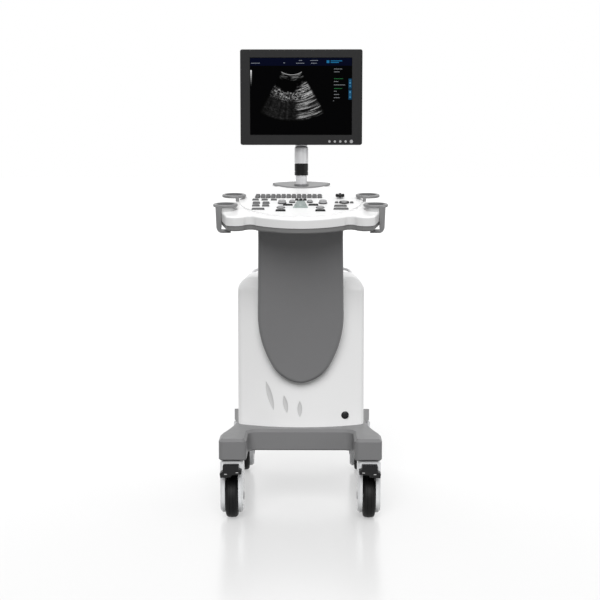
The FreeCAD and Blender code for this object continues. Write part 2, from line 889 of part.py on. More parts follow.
def rear_handle():
    """The push bar behind the cabinet: a round tube that rises from the rear wall and is bent
    at both ends."""
    body = new_body(
        "rear_handle", at=("0", "cabinet_rear_y + 2", "handle_root_z"), tilt="handle_rise",
    )
    path = new_sketch(body, "XY_Plane")
    bend = "handle_bend"
    inset = f"{bend} * {1 - math.sqrt(0.5):.6f}"
    add_outline(path, [
        ("-handle_half_width", "0"),
        ("-handle_half_width", f"handle_reach - {bend}"),
        (
            f"{bend} - handle_half_width", "handle_reach",
            f"{inset} - handle_half_width", f"handle_reach - {inset}",
        ),
        (f"handle_half_width - {bend}", "handle_reach"),
        (
            "handle_half_width", f"handle_reach - {bend}",
            f"handle_half_width - {inset}", f"handle_reach - {inset}",
        ),
        ("handle_half_width", "0"),
    ], closed=False)
    section = new_sketch(body, "XZ_Plane")
    add_circle(section, "-handle_half_width", "0", "handle_radius")
    pipe = body.newObject("PartDesign::AdditivePipe", "rear_handle_pipe")
    pipe.Profile = section
    pipe.Spine = path
    doc.recompute()
    return body


SOCKET_PLACES = (-62, 8)


def rear_panel():
    """The connector panel: air slots, and cut-outs for the probe sockets and mains inlet."""
    body = new_body("rear_panel")
    face = "cabinet_rear_y - cabinet_wall"
    plate = new_sketch(body, "XZ_Plane", f"-({face})")
    add_rectangle(
        plate,
        "-panel_half_width - 8", "panel_bottom - 8",
        "panel_half_width + 8", "panel_top + 8",
    )
    pad(body, plate, "panel_thickness")
    cutouts = new_sketch(body, "XZ_Plane", f"-({face}) - 1")
    for x in SOCKET_PLACES:
        add_rectangle(cutouts, f"{x - 28.2}", "375.8", f"{x + 28.2}", "404.2")
    add_rectangle(cutouts, "55", "288", "85", "312")
    pocket(body, cutouts, "panel_thickness + 2", backwards=True)
    slots = new_sketch(body, "XZ_Plane", f"-({face}) - 1")
    for number in range(9):
        level = 456 + 8 * number
        reach = 34 - abs(number - 4) * 3.5
        add_rectangle(slots, f"{-reach:.2f}", f"{level}", f"{reach:.2f}", f"{level + 4}")
    pocket(body, slots, "panel_thickness + 2", backwards=True)
    return body


def rear_sockets():
    """Two probe sockets and a recessed mains inlet with three flat pins."""
    body = new_body("rear_sockets")
    outer = "-(cabinet_rear_y - cabinet_wall)"
    probe_blocks = new_sketch(body, "XZ_Plane", outer)
    probe_mouths = new_sketch(body, "XZ_Plane", f"{outer} - 1")
    for x in SOCKET_PLACES:
        add_rectangle(probe_blocks, f"{x - 28}", "376", f"{x + 28}", "404")
        add_rectangle(probe_mouths, f"{x - 23}", "380", f"{x + 23}", "400")
    pad(body, probe_blocks, "28")
    pocket(body, probe_mouths, "22", backwards=True)
    block = new_sketch(body, "XZ_Plane", outer)
    add_rectangle(block, "55.2", "288.2", "84.8", "311.8")
    pad(body, block, "26")
    mouth = new_sketch(body, "XZ_Plane", f"{outer} - 1")
    add_rectangle(mouth, "58", "291", "82", "309")
    pocket(body, mouth, "18", backwards=True)
    pins = new_sketch(body, "XZ_Plane", f"{outer} + 17")
    for x, z in ((63, 298), (77, 298), (70, 303)):
        add_rectangle(pins, f"{x - 1}", f"{z - 2}", f"{x + 1}", f"{z + 2}")
    outward = pad(body, pins, "12")
    outward.Reversed = True
    return body


def sheet_box(label, low, high, board_count):
    """A sheet-metal box open to the rear, with upright boards between its floor and its lid."""
    body = new_body(label)
    outer = new_sketch(body, "XY_Plane", low[2])
    add_rectangle(outer, low[0], low[1], high[0], high[1])
    pad(body, outer, f"({high[2]}) - ({low[2]})")
    inner = new_sketch(body, "XZ_Plane", f"-({high[1]}) - 1")
    add_rectangle(
        inner, f"({low[0]}) + 2", f"({low[2]}) + 2", f"({high[0]}) - 2", f"({high[2]}) - 2",
    )
    pocket(body, inner, f"({high[1]}) - ({low[1]}) - 1", backwards=True)
    boards = new_sketch(body, "XY_Plane", f"({low[2]}) + 1")
    spacing = f"(({high[0]}) - ({low[0]})) / {board_count + 1}"
    for number in range(1, board_count + 1):
        left = f"({low[0]}) + {number} * {spacing}"
        add_rectangle(boards, left, f"({low[1]}) + 10", f"{left} + 2", f"({high[1]}) - 10")
    pad(body, boards, f"({high[2]}) - ({low[2]}) - 2")
    return body


def fan_frame():
    """The square fan frame behind the air slots."""
    body = new_body("fan_frame")
    square = new_sketch(body, "XZ_Plane", "-(cabinet_rear_y - cabinet_wall - 3)")
    add_rectangle(
        square,
        "-fan_size / 2", "fan_z - fan_size / 2", "fan_size / 2", "fan_z + fan_size / 2",
    )
    add_circle(square, "0", "fan_z", "fan_size / 2 - 2")
    pad(body, square, "22")
    boss = new_sketch(body, "XZ_Plane", "-(cabinet_rear_y - cabinet_wall - 3) + 20")
    add_circle(boss, "0", "fan_z", "12")
    pad(body, boss, "2")
    struts = new_sketch(body, "XZ_Plane", "-(cabinet_rear_y - cabinet_wall - 3) + 20")
    add_rectangle(struts, "-fan_size / 2 + 1", "fan_z - 2", "fan_size / 2 - 1", "fan_z + 2")
    pad(body, struts, "2")
    return body


def fan_rotor():
    """The fan's hub with seven pitched blades."""
    body = new_body("fan_rotor", at=("0", "cabinet_rear_y - cabinet_wall - 5", "fan_z"))
    hub = new_sketch(body, "XZ_Plane")
    add_circle(hub, "0", "0", "14")
    pad(body, hub, "17")
    for number in range(7):
        blade = body.newObject("PartDesign::AdditiveBox", f"fan_blade_{number + 1}")
        blade.Length = 1.6
        blade.Width = 15
        bind(blade, Height="fan_size / 2 - 17")
        spin = FreeCAD.Rotation(FreeCAD.Vector(0, 1, 0), 360 * number / 7)
        pitch = FreeCAD.Rotation(FreeCAD.Vector(0, 0, 1), 32)
        offset = spin.multVec(FreeCAD.Vector(0, 0, 12))
        blade.Placement = FreeCAD.Placement(offset + FreeCAD.Vector(0, -15, 0), spin * pitch)
    doc.recompute()
    return body


cabinet_front_shell()
cabinet_rear_shell()
power_button()
rear_handle()
rear_panel()
rear_sockets()
sheet_box("power_supply", ("-95", "40", "base_top"), ("50", "240", "base_top + 70"), 2)
sheet_box("electronics_unit", ("-120", "20", "base_top + 70"), ("120", "235", "base_top + 260"), 7)
fan_frame()
fan_rotor()


# ---- column ----

DECK_SLOPE = math.tan(math.radians(value("deck_tilt")))
TRAY_DROP = value("deck_thickness + tray_thickness") / math.cos(math.radians(value("deck_tilt")))


def tray_underside(y):
    """An expression for the height of the console's underside at a distance y."""
    return f"deck_front_z - {TRAY_DROP:.4f} + {DECK_SLOPE:.6f} * ({y} - deck_front_y)"


def ellipse_point(half_width, centre_z, tip_z, degrees):
    """A point of the column's round lower end, measured down from its widest level."""
    across = math.cos(math.radians(degrees))
    down = math.sin(math.radians(degrees))
    return (f"{half_width} * {across:.6f}", f"{centre_z} - ({centre_z} - {tip_z}) * {down:.6f}")


def column_cover():
    """The grey column cover: a forward-leaning shield with a round lower end, deeper above
    the cabinet, where it becomes the neck that carries the console."""
    body = new_body("column_cover")
    side = new_sketch(body, "YZ_Plane")
    neck_foot = value("cabinet_top") - 0.0435 * (10 - value("cabinet_front_y")) + 0.6
    add_outline(side, [
        ("column_front_y", "column_tip_z - 10", "-181", "600"),
        ("-90", "column_tip_z - 10"),
        ("-90", "cabinet_top - 1.8"),
        ("10", f"{neck_foot:.3f}"),
        ("85", tray_underside("85") + " - 0.4", "26", "792"),
        ("-238", tray_underside("-238") + " - 0.4"),
    ])
    pad(body, side, "2 * column_half_width", both_sides=True)
    face = new_sketch(body, "XZ_Plane", "300")
    rounded = []
    for degrees in (22.5, 67.5, 112.5, 157.5):
        middle = ellipse_point("column_half_width", "column_round_z", "column_tip_z", degrees)
        end = ellipse_point("column_half_width", "column_round_z", "column_tip_z", degrees + 22.5)
        rounded.append(end + middle)
    add_outline(face, [
        ("column_top_half_width", "920"),
        ("column_top_half_width", "797"),
        ("column_half_width", "column_round_z"),
    ] + rounded + [
        ("-column_top_half_width", "797"),
        ("-column_top_half_width", "920"),
    ])
    add_rectangle(face, "-200", "340", "200", "960")
    pocket(body, face, "450")
    cabinet = new_sketch(body, "XY_Plane", "base_top")
    add_outline(cabinet, [
        ("-cabinet_half_width - 0.4", "0"),
        ("-cabinet_half_width - 0.4", "cabinet_corner_y - 0.4"),
        (
            "cabinet_half_width + 0.4", "cabinet_corner_y - 0.4",
            "0", "cabinet_front_y - 0.4",
        ),
        ("cabinet_half_width + 0.4", "0"),
    ])
    pocket(body, cabinet, "cabinet_top + 0.5 - base_top", backwards=True)
    block = body.Tip
    front_rim = lambda box: (
        box.YMin < -160 and box.YMax < -150 and box.XLength + box.ZLength > 20
        and box.ZMax < 850 and not box.XLength > 200 and box.ZMin > 300
    )
    fillet(body, block, front_rim, "10")
    inside = new_sketch(body, "YZ_Plane")
    add_outline(inside, [
        ("-2", "691", "17", "792"),
        ("-187", "691"),
        ("-230", "838", "-204", "765"),
        ("-230", "920"),
        ("74", "920"),
        ("74", "891"),
    ])
    pocket(body, inside, "2 * column_top_half_width - 16", both_sides=True)
    spine_hole = new_sketch(body, "XY_Plane", "cabinet_top - 70")
    add_rectangle(
        spine_hole,
        "-spine_width / 2 - 2", "spine_front_y - 2",
        "spine_width / 2 + 2", "spine_front_y + spine_depth + 2",
    )
    pocket(body, spine_hole, "90", backwards=True)
    return body


def column_spine():
    """The steel box tube from the chassis to the console, with a sloping top bracket."""
    body = new_body("column_spine")
    section = new_sketch(body, "XY_Plane", "chassis_top")
    add_rectangle(
        section,
        "-spine_width / 2", "spine_front_y", "spine_width / 2", "spine_front_y + spine_depth",
    )
    add_rectangle(
        section,
        "-spine_width / 2 + spine_wall", "spine_front_y + spine_wall",
        "spine_width / 2 - spine_wall", "spine_front_y + spine_depth - spine_wall",
    )
    pad(body, section, "850 - chassis_top")
    bracket = new_sketch(body, "YZ_Plane")
    add_outline(bracket, [
        ("-130", tray_underside("-130") + " - 6"),
        ("spine_front_y", "846"),
        ("spine_front_y + spine_depth", "846"),
        ("spine_front_y + spine_depth", tray_underside("(spine_front_y + spine_depth)")),
        ("-130", tray_underside("-130")),
    ])
    pad(body, bracket, "spine_width + 60", both_sides=True)
    return body


column_cover()
column_spine()


# ---- console deck ----

def deck_outline(inset):
    """The deck's plan: a bulging front, a dip each side, square wings and a round rear."""
    return [
        (f"122 - {inset} * 0.3", f"38 + {inset}", "0", inset),
        (f"154 - {inset} * 0.2", f"38 + {inset}", "138", f"47 + {inset}"),
        (f"203 - {inset} * 0.7", f"36 + {inset}", "180", f"29 + {inset}"),
        (f"226 - {inset}", "112"),
        (f"222 - {inset}", "172", f"228 - {inset}", "142"),
        (f"186 - {inset}", "243"),
        (f"172 - {inset}", "300", f"177 - {inset}", "270"),
        (f"120 - {inset} * 0.6", f"425 - {inset}"),
        (f"-120 + {inset} * 0.6", f"425 - {inset}", "0", f"deck_length - {inset}"),
        (f"-172 + {inset}", "300"),
        (f"-186 + {inset}", "243", f"-177 + {inset}", "270"),
        (f"-222 + {inset}", "172"),
        (f"-226 + {inset}", "112", f"-228 + {inset}", "142"),
        (f"-203 + {inset} * 0.7", f"36 + {inset}"),
        (f"-154 + {inset} * 0.2", f"38 + {inset}", "-180", f"29 + {inset}"),
        (f"-122 + {inset} * 0.3", f"38 + {inset}", "-138", f"47 + {inset}"),
    ]


def deck_corner(inset):
    """A test for the deck's upright edges that take a round: all but the nearly smooth ones."""
    smooth = (226 - inset, 186 - inset)
    return lambda box: upright(box) and not any(same(abs(box.XMax), x) for x in smooth)


def cut_probe_notches(body):
    """Round bites in the deck's edge under the probe holders."""
    notches = new_sketch(body, "XY_Plane", "-deck_thickness - tray_thickness - 5")
    for x, y in (("front_ring_x", "front_ring_y"), ("rear_ring_x", "rear_ring_y")):
        along = f"({y} - deck_front_y) * {1 / math.cos(math.radians(value('deck_tilt'))):.6f} + 4"
        for side in ("", "-"):
            add_circle(notches, f"{side}{x}", along, "notch_radius")
    return pocket(body, notches, "deck_thickness + tray_thickness + 20", backwards=True)


def cut_mast_hole(body):
    """The hole for the mast socket, upright although the deck is tilted."""
    hole = new_sketch(body, "XY_Plane")
    upright_again = FreeCAD.Rotation(FreeCAD.Vector(1, 0, 0), -value("deck_tilt"))
    hole.AttachmentOffset.Rotation = upright_again
    along = f"(mast_y - deck_front_y) * {1 / math.cos(math.radians(value('deck_tilt'))):.6f}"
    bind(hole, AttachmentOffset__Base__y=along)
    add_circle(hole, "0", "0", "socket_radius + 0.5")
    pocket(body, hole, "160", both_sides=True)


def plug_outline(growth):
    """The rounded rectangle under the control plateau."""
    return [
        (f"-107 - {growth}", f"96 - {growth}"),
        (f"107 + {growth}", f"96 - {growth}"),
        (f"152 + {growth}", f"141 - {growth}", f"138.8 + {growth}", f"109.2 - {growth}"),
        (f"152 + {growth}", f"300 + {growth}"),
        (f"107 + {growth}", f"345 + {growth}", f"138.8 + {growth}", f"331.8 + {growth}"),
        (f"-107 - {growth}", f"345 + {growth}"),
        (f"-152 - {growth}", f"300 + {growth}", f"-138.8 - {growth}", f"331.8 + {growth}"),
        (f"-152 - {growth}", f"141 - {growth}"),
        (f"-107 - {growth}", f"96 - {growth}", f"-138.8 - {growth}", f"109.2 - {growth}"),
    ]


def console_top():
    """The white console shell, open underneath, with an opening for the control plateau."""
    body = deck_body("console_top")
    plan = new_sketch(body, "XY_Plane", "-deck_thickness")
    add_outline(plan, deck_outline("0"))
    block = pad(body, plan, "deck_thickness")
    block = fillet(body, block, deck_corner(0), "deck_corner_radius")
    block = cut_probe_notches(body)
    block = fillet(body, block, level_at(0), "5")
    hollow(body, block, level_at(-value("deck_thickness")), "console_wall")
    opening = new_sketch(body, "XY_Plane", "10")
    outline = plug_outline("0.3")
    add_outline(opening, [outline[0] + outline[8][2:]] + outline[1:8])
    pocket(body, opening, "20")
    cut_mast_hole(body)
    return body


def console_tray():
    """The grey lower tray of the console, open upwards."""
    body = deck_body("console_tray")
    plan = new_sketch(body, "XY_Plane", "-deck_thickness - tray_thickness")
    add_outline(plan, deck_outline("2"))
    block = pad(body, plan, "tray_thickness")
    block = fillet(body, block, deck_corner(2), "deck_corner_radius")
    block = cut_probe_notches(body)
    underside = level_at(-value("deck_thickness + tray_thickness"))
    block = fillet(body, block, underside, "5")
    hollow(body, block, level_at(-value("deck_thickness")), "console_wall")
    cut_mast_hole(body)
    return body


# Key groups: each key is (x, y) of its middle, its width and its depth on the flat deck.
FUNCTION_KEYS = [
    (-130, 219, 19, 10), (-104, 219, 18, 10), (-77.5, 219, 18, 10),
    (-126, 179, 21, 15), (-98.5, 179, 20, 15),
    (-126, 145, 21, 15), (-98.5, 145, 20, 15),
    (-118, 103, 36, 11),
    (102, 183, 10, 10), (145, 183, 10, 10),
    (112, 141, 36, 13), (113, 105, 42, 13),
]
SOFT_KEYS = [
    (-36, 153, 28, 9), (36, 153, 28, 9),
    (-55, 85, 28, 13), (55, 85, 28, 13),
    (0, 219, 34, 13),
]
ROUND_KEYS = [(-55, 123), (55, 123)]
KNOBS = [
    ("left_gain_knob", -53, 177, 12.5, 9),
    ("right_gain_knob", 63, 177, 12.5, 9),
    ("left_menu_knob", -24.5, 189, 9, 7),
    ("right_menu_knob", 26, 189, 9, 7),
]


def key_group(label, keys, round_keys=()):
    """Separate keys with slightly drawn-in sides, sunk a little in the plateau's wells."""
    body = deck_body(label)
    plan = new_sketch(body, "XY_Plane", "panel_plate - key_root")
    for x, y in round_keys:
        add_circle(plan, f"{x}", f"{y}", "round_key_radius")
    for x, y, width, depth in keys:
        add_rectangle(
            plan,
            f"{x - width / 2}", f"{y - depth / 2}", f"{x + width / 2}", f"{y + depth / 2}",
        )
    pad(body, plan, "key_root + key_height", taper=-6)
    return body


def keyboard_keys():
    """The typing keys: one key repeated in four rows of thirteen."""
    body = deck_body("keyboard_keys")
    plan = new_sketch(body, "XY_Plane", "panel_plate - key_root")
    left = "keyboard_left + 1.2"
    front = "keyboard_front + 1"
    right = f"{left} + keyboard_cap_width"
    back = f"{front} + keyboard_cap_depth"
    add_rectangle(plan, left, front, right, back)
    key = pad(body, plan, "key_root + key_height", taper=-6)
    grid = body.newObject("PartDesign::MultiTransform", "keyboard_grid")
    grid.Originals = [key]
    steps = []
    for axis, count, pitch in (("H_Axis", 13, "keyboard_pitch_x"), ("V_Axis", 4, "keyboard_pitch_y")):
        step = body.newObject("PartDesign::LinearPattern", f"keyboard_{axis}")
        step.Direction = (plan, [axis])
        step.Occurrences = count
        bind(step, Length=f"{count - 1} * {pitch}")
        steps.append(step)
    grid.Transformations = steps
    body.Tip = grid
    settle(grid)
    return body


def deck_box(name, left, front, low, right, back, high):
    """A Part box on the flat deck, used as a tool."""
    return part_box(name, (left, front, low), (right, back, high))


def ball_unit_outline(growth):
    """The plan of the trackball's housing, narrower towards the rear."""
    front_half = 21 + growth
    rear_half = 11 + growth
    front = f"ball_unit_front - {growth}"
    rear = f"ball_unit_rear + {growth}"
    return [
        (f"{-front_half}", front), (f"{front_half}", front),
        (f"{rear_half}", rear), (f"{-rear_half}", rear),
    ]


def control_panel():
    """The raised oval plateau with a plug that reaches into the console and a well per key."""
    oval = doc.addObject("Part::Ellipse", "plateau_oval")
    bind(oval, MajorRadius="plateau_half_length", MinorRadius="plateau_half_width")
    oval.Placement.Rotation = FreeCAD.Rotation(FreeCAD.Vector(0, 0, 1), 90)
    bind(oval, Placement__Base__y="plateau_centre")
    plate = doc.addObject("Part::Extrusion", "plateau_plate")
    plate.Base = oval
    plate.Dir = FreeCAD.Vector(0, 0, 1)
    plate.DirMode = "Custom"
    plate.Solid = True
    bind(plate, LengthFwd="panel_plate")
    plug_body = doc.addObject("PartDesign::Body", "plateau_plug")
    plug = new_sketch(plug_body, "XY_Plane", "-panel_plug")
    outline = plug_outline("0")
    add_outline(plug, [outline[0] + outline[8][2:]] + outline[1:8])
    pad(plug_body, plug, "panel_plug")
    tools = [part_cylinder("dish_clearance", "0", "deck_length", "-20", "30", "92")]
    tools[0].Placement.Base.x = 0
    wells = [
        ("keyboard_well", value("keyboard_left") - 0.2, value("keyboard_front") - 0.2,
         13 * value("keyboard_pitch_x") + 0.4, 4 * value("keyboard_pitch_y") + 0.4),
    ]
    for number, (x, y, width, depth) in enumerate(FUNCTION_KEYS + SOFT_KEYS):
        gap = value("key_gap")
        wells.append((
            f"key_well_{number + 1}",
            x - width / 2 - gap, y - depth / 2 - gap, width + 2 * gap, depth + 2 * gap,
        ))
    for name, left, front, width, depth in wells:
        tools.append(deck_box(
            name, f"{left:.2f}", f"{front:.2f}", "-1.2",
            f"{left + width:.2f}", f"{front + depth:.2f}", "30",
        ))
    for number, (x, y) in enumerate(ROUND_KEYS):
        tools.append(part_cylinder(
            f"round_well_{number + 1}", f"{x}", f"{y}", "-1.2", "30",
            "round_key_radius + key_gap",
        ))
    for name, x, y, radius, rise in KNOBS:
        tools.append(part_cylinder(
            f"{name}_bore", f"{x}", f"{y}", "-6", "30", "knob_shaft_radius + running_clearance",
        ))
    tools.append(part_cylinder(
        "dial_bore", "dial_x", "dial_y", "-6", "30", "knob_shaft_radius + running_clearance",
    ))
    tools.append(part_cylinder("pad_well", "pad_x", "pad_y", "-1.2", "30", "9.5"))
    well_body = doc.addObject("PartDesign::Body", "ball_well")
    well = new_sketch(well_body, "XY_Plane", "-30")
    add_outline(well, ball_unit_outline(0.4))
    pad(well_body, well, "60")
    tools.append(well_body)
    solid = cut("control_panel", fuse("plateau", [plate, plug_body]), fuse("wells", tools))
    solid.Placement.Rotation = FreeCAD.Rotation(FreeCAD.Vector(1, 0, 0), value("deck_tilt"))
    bind(solid, Placement__Base__y="deck_front_y", Placement__Base__z="deck_front_z")
    bind(solid, Placement__Rotation__Angle="deck_tilt")
    return node(solid, "control_panel")


def trackball_ring():
    """The trackball's bezel and cup, with a palm ledge behind the ball."""
    body = deck_body("trackball_ring")
    plan = new_sketch(body, "XY_Plane", "-20")
    add_outline(plan, ball_unit_outline(0))
    block = pad(body, plan, "20 + ball_unit_rise")
    fillet(body, block, level_at(value("ball_unit_rise")), "2")
    cup = body.newObject("PartDesign::SubtractiveSphere", "trackball_cup")
    bind(cup, Radius="ball_radius + 0.4", Placement__Base__y="ball_y")
    doc.recompute()
    return body


def trackball():
    """The free-turning ball."""
    body = deck_body("trackball")
    ball = body.newObject("PartDesign::AdditiveSphere", "trackball_ball")
    bind(ball, Radius="ball_radius", Placement__Base__y="ball_y")
    doc.recompute()
    return body


def turning_knob(label, x, y, radius, rise):
    """A round knob on a shaft that runs in the plateau."""
    body = deck_body(label)
    shaft = new_sketch(body, "XY_Plane", "-5")
    add_circle(shaft, x, y, "knob_shaft_radius")
    pad(body, shaft, "panel_plate + 6")
    head = new_sketch(body, "XY_Plane", "panel_plate + 0.4")
    add_circle(head, x, y, radius)
    block = pad(body, head, rise)
    top = value(f"panel_plate + 0.4 + {rise}")
    fillet(body, block, level_at(top), "1.5")
    return body


def cross_pad():
    """The four-way pad: a black cross with round ends on a stub."""
    body = deck_body("cross_pad")
    stub = new_sketch(body, "XY_Plane", "panel_plate - key_root")
    add_circle(stub, "pad_x", "pad_y", "8.5")
    pad(body, stub, "key_root + pad_arm_low + 1")
    for turn in (0, 90):
        arm = new_sketch(body, "XY_Plane", "panel_plate + pad_arm_low")
        reach, half = (13, 5) if turn == 0 else (5, 13)
        add_rectangle(
            arm, f"pad_x - {reach}", f"pad_y - {half}", f"pad_x + {reach}", f"pad_y + {half}",
        )
        pad(body, arm, "pad_arm_rise")
    return body


console_top()
console_tray()
control_panel()
keyboard_keys()
key_group("function_keys", FUNCTION_KEYS)
key_group("soft_keys", SOFT_KEYS, ROUND_KEYS)
trackball_ring()
trackball()
for name, x, y, radius, rise in KNOBS:
    turning_knob(name, f"{x}", f"{y}", f"{radius}", f"{rise}")
turning_knob("dial_ring", "dial_x", "dial_y", "dial_radius", "dial_rise")
cross_pad()


# ---- probe holders and pole foot ----

def probe_holder(label, side, x, y, z, has_post):
    """A ring for a probe, on a post that hooks under the deck or on a low bracket on it."""
    body = new_body(label, at=(x, y, z), tilt="ring_tilt")
    ring = new_sketch(body, "XY_Plane", "-ring_thickness / 2")
    add_circle(ring, "0", "0", "ring_radius")
    add_circle(ring, "0", "0", "ring_bore_radius")
    pad(body, ring, "ring_thickness")
    if not has_post:
        bracket = new_sketch(body, "YZ_Plane", f"{side * -11}")
        add_outline(bracket, [
            ("-33", "ring_thickness / 2 - 1"),
            ("-33", "-14.0"),
            ("-23", "-13.12"),
            ("-23", "ring_thickness / 2 - 1"),
        ])
        pad(body, bracket, "10", both_sides=True)
        return body
    post = new_sketch(body, "XZ_Plane", "ring_bore_radius + 1")
    outer = side * 25.5
    inner = side * 12.5
    hook = side * -16
    add_outline(post, [
        (f"{inner}", "ring_thickness / 2 - 1"),
        (f"{outer}", "ring_thickness / 2 - 1"),
        (f"{outer}", "-58"),
        (f"{side * 10.5}", "-73", f"{side * 21.1}", "-68.6"),
        (f"{hook}", "-73"),
        (f"{hook}", "-63.5"),
        (f"{side * 6.5}", "-63.5"),
        (f"{inner}", "-57.5", f"{side * 10.7}", "-61.7"),
    ])
    pad(body, post, "13")
    return body


def pole_dish():
    """The grey D-shaped foot at the rear of the deck that carries the mast."""
    body = deck_body("pole_dish")
    plan = new_sketch(body, "XY_Plane")
    add_outline(plan, [
        ("-88", "447", "0", "381"),
        ("88", "447", "0", "deck_length"),
    ])
    block = pad(body, plan, "7")
    fillet(body, block, level_at(7), "3")
    cut_mast_hole(body)
    return body


def pole_socket():
    """The dark flanged guide that the mast slides in."""
    body = new_body("pole_socket", at=("0", "mast_y", "0"))
    profile = new_sketch(body, "XZ_Plane")
    add_outline(profile, [
        ("mast_radius + running_clearance", "socket_bottom"),
        ("socket_radius", "socket_bottom"),
        ("socket_radius", "socket_top - 9"),
        ("socket_radius", "socket_top - 2"),
        ("socket_radius - 2", "socket_top", "socket_radius - 0.6", "socket_top - 0.6"),
        ("mast_radius + running_clearance", "socket_top"),
    ])
    revolve(body, (profile, ["V_Axis"]))
    return body


for place, side, ring_x, ring_y, ring_z in (
    ("front_left", -1, "-front_ring_x", "front_ring_y", "front_ring_z"),
    ("front_right", 1, "front_ring_x", "front_ring_y", "front_ring_z"),
    ("rear_left", -1, "-rear_ring_x", "rear_ring_y", "rear_ring_z"),
    ("rear_right", 1, "rear_ring_x", "rear_ring_y", "rear_ring_z"),
):
    has_post = place.startswith("front")
    probe_holder(f"probe_holder_{place}", side, ring_x, ring_y, ring_z, has_post)
pole_dish()
pole_socket()


# ---- mast ----

def mast_tube():
    """The bright mast tube."""
    body = new_body("mast_tube", at=("0", "mast_y", "0"))
    section = new_sketch(body, "XY_Plane", "mast_bottom")
    add_circle(section, "0", "0", "mast_radius")
    add_circle(section, "0", "0", "mast_radius - mast_wall")
    pad(body, section, "mast_top - mast_bottom")
    return body


def mast_collar():
    """The black clamping collar, waisted by two shallow grooves."""
    body = new_body("mast_collar", at=("0", "mast_y", "0"))
    profile = new_sketch(body, "XZ_Plane")
    inner = "mast_radius + running_clearance"
    add_outline(profile, [
        (inner, "collar_bottom"),
        ("collar_radius - 1", "collar_bottom"),
        ("collar_radius", "collar_bottom + 1"),
        ("collar_radius", "collar_bottom + 10"),
        ("collar_radius - 0.8", "collar_bottom + 11"),
        ("collar_radius - 0.8", "collar_bottom + 13"),
        ("collar_radius", "collar_bottom + 14"),
        ("collar_radius", "collar_top - 1"),
        ("collar_radius - 1", "collar_top"),
        (inner, "collar_top"),
    ])
    revolve(body, (profile, ["V_Axis"]))
    return body


def mast_sleeve():
    """The upper sleeve, fixed on the tube, with a bore for the monitor's pivot stem."""
    body = new_body("mast_sleeve", at=("0", "mast_y", "0"))
    profile = new_sketch(body, "XZ_Plane")
    add_outline(profile, [
        ("mast_radius", "sleeve_bottom"),
        ("collar_radius", "sleeve_bottom"),
        ("collar_radius", "sleeve_shoulder"),
        ("mast_radius", "sleeve_top"),
        ("pivot_stem_radius + running_clearance", "sleeve_top"),
        ("pivot_stem_radius + running_clearance", "mast_top + 1"),
        ("mast_radius", "mast_top + 1"),
    ])
    revolve(body, (profile, ["V_Axis"]))
    return body


def monitor_yoke():
    """The swivel neck: a stem in the sleeve, a round foot, and a lug with the tilt pin."""
    body = new_body("monitor_yoke", at=("0", "mast_y", "0"))
    stem = new_sketch(body, "XY_Plane", "mast_top + 1.5")
    add_circle(stem, "0", "0", "pivot_stem_radius")
    pad(body, stem, "sleeve_top - mast_top")
    foot = new_sketch(body, "XY_Plane", "sleeve_top + 0.3")
    add_circle(foot, "0", "0", "mast_radius - 3")
    pad(body, foot, "3")
    lug = new_sketch(body, "YZ_Plane")
    add_outline(lug, [
        ("-10", "sleeve_top + 1"),
        ("10", "sleeve_top + 1"),
        ("10", "hinge_z"),
        ("-10", "hinge_z", "0", "hinge_z + 10"),
    ])
    pad(body, lug, "2 * hinge_notch - 8", both_sides=True)
    pin = new_sketch(body, "YZ_Plane")
    add_circle(pin, "0", "hinge_z", "hinge_pin_radius")
    pad(body, pin, "2 * hinge_notch + 26", both_sides=True)
    return body


mast_tube()
mast_collar()
mast_sleeve()
monitor_yoke()


# ---- monitor ----

MONITOR_BUTTONS = [(84, 3.5), (100, 3.5), (116, 3.5), (132, 3.5), (149, 5)]


def monitor_bezel():
    """The dark front frame, with a step behind its face for the screen."""
    body = new_body("monitor_bezel")
    face = new_sketch(body, "XZ_Plane", "-monitor_front_y - bezel_depth")
    add_rectangle(
        face,
        "-monitor_width / 2", "monitor_bottom",
        "monitor_width / 2", "monitor_bottom + monitor_height",
    )
    block = pad(body, face, "bezel_depth")
    along_y = lambda box: box.XLength < 0.01 and box.ZLength < 0.01
    block = fillet(body, block, along_y, "monitor_corner")
    front = value("monitor_front_y")
    block = fillet(body, block, lambda box: box.YLength < 0.01 and same(box.YMin, front), "1.5")
    well = new_sketch(body, "XZ_Plane", "-monitor_front_y - bezel_depth")
    add_rectangle(
        well,
        "-monitor_width / 2 + 4", "monitor_bottom + 4",
        "monitor_width / 2 - 4", "monitor_bottom + monitor_height - 4",
    )
    pocket(body, well, "bezel_depth - bezel_face", backwards=True)
    window = new_sketch(body, "XZ_Plane", "-monitor_front_y + 5")
    add_rectangle(
        window,
        "screen_left", "screen_bottom",
        "screen_left + screen_width", "screen_bottom + screen_height",
    )
    pocket(body, window, "bezel_face + 6")
    holes = new_sketch(body, "XZ_Plane", "-monitor_front_y + 5")
    for x, radius in MONITOR_BUTTONS:
        add_circle(holes, f"{x}", "monitor_button_z", f"{radius} + 0.1")
    pocket(body, holes, "bezel_face + 6")
    return body


def lcd_panel():
    """The flat screen panel behind the bezel's window."""
    body = new_body("lcd_panel")
    panel = new_sketch(body, "XZ_Plane", "-monitor_front_y - bezel_face - 9")
    add_rectangle(
        panel,
        "screen_left - 6", "screen_bottom - 5",
        "screen_left + screen_width + 6", "screen_bottom + screen_height + 6",
    )
    pad(body, panel, "9")
    return body


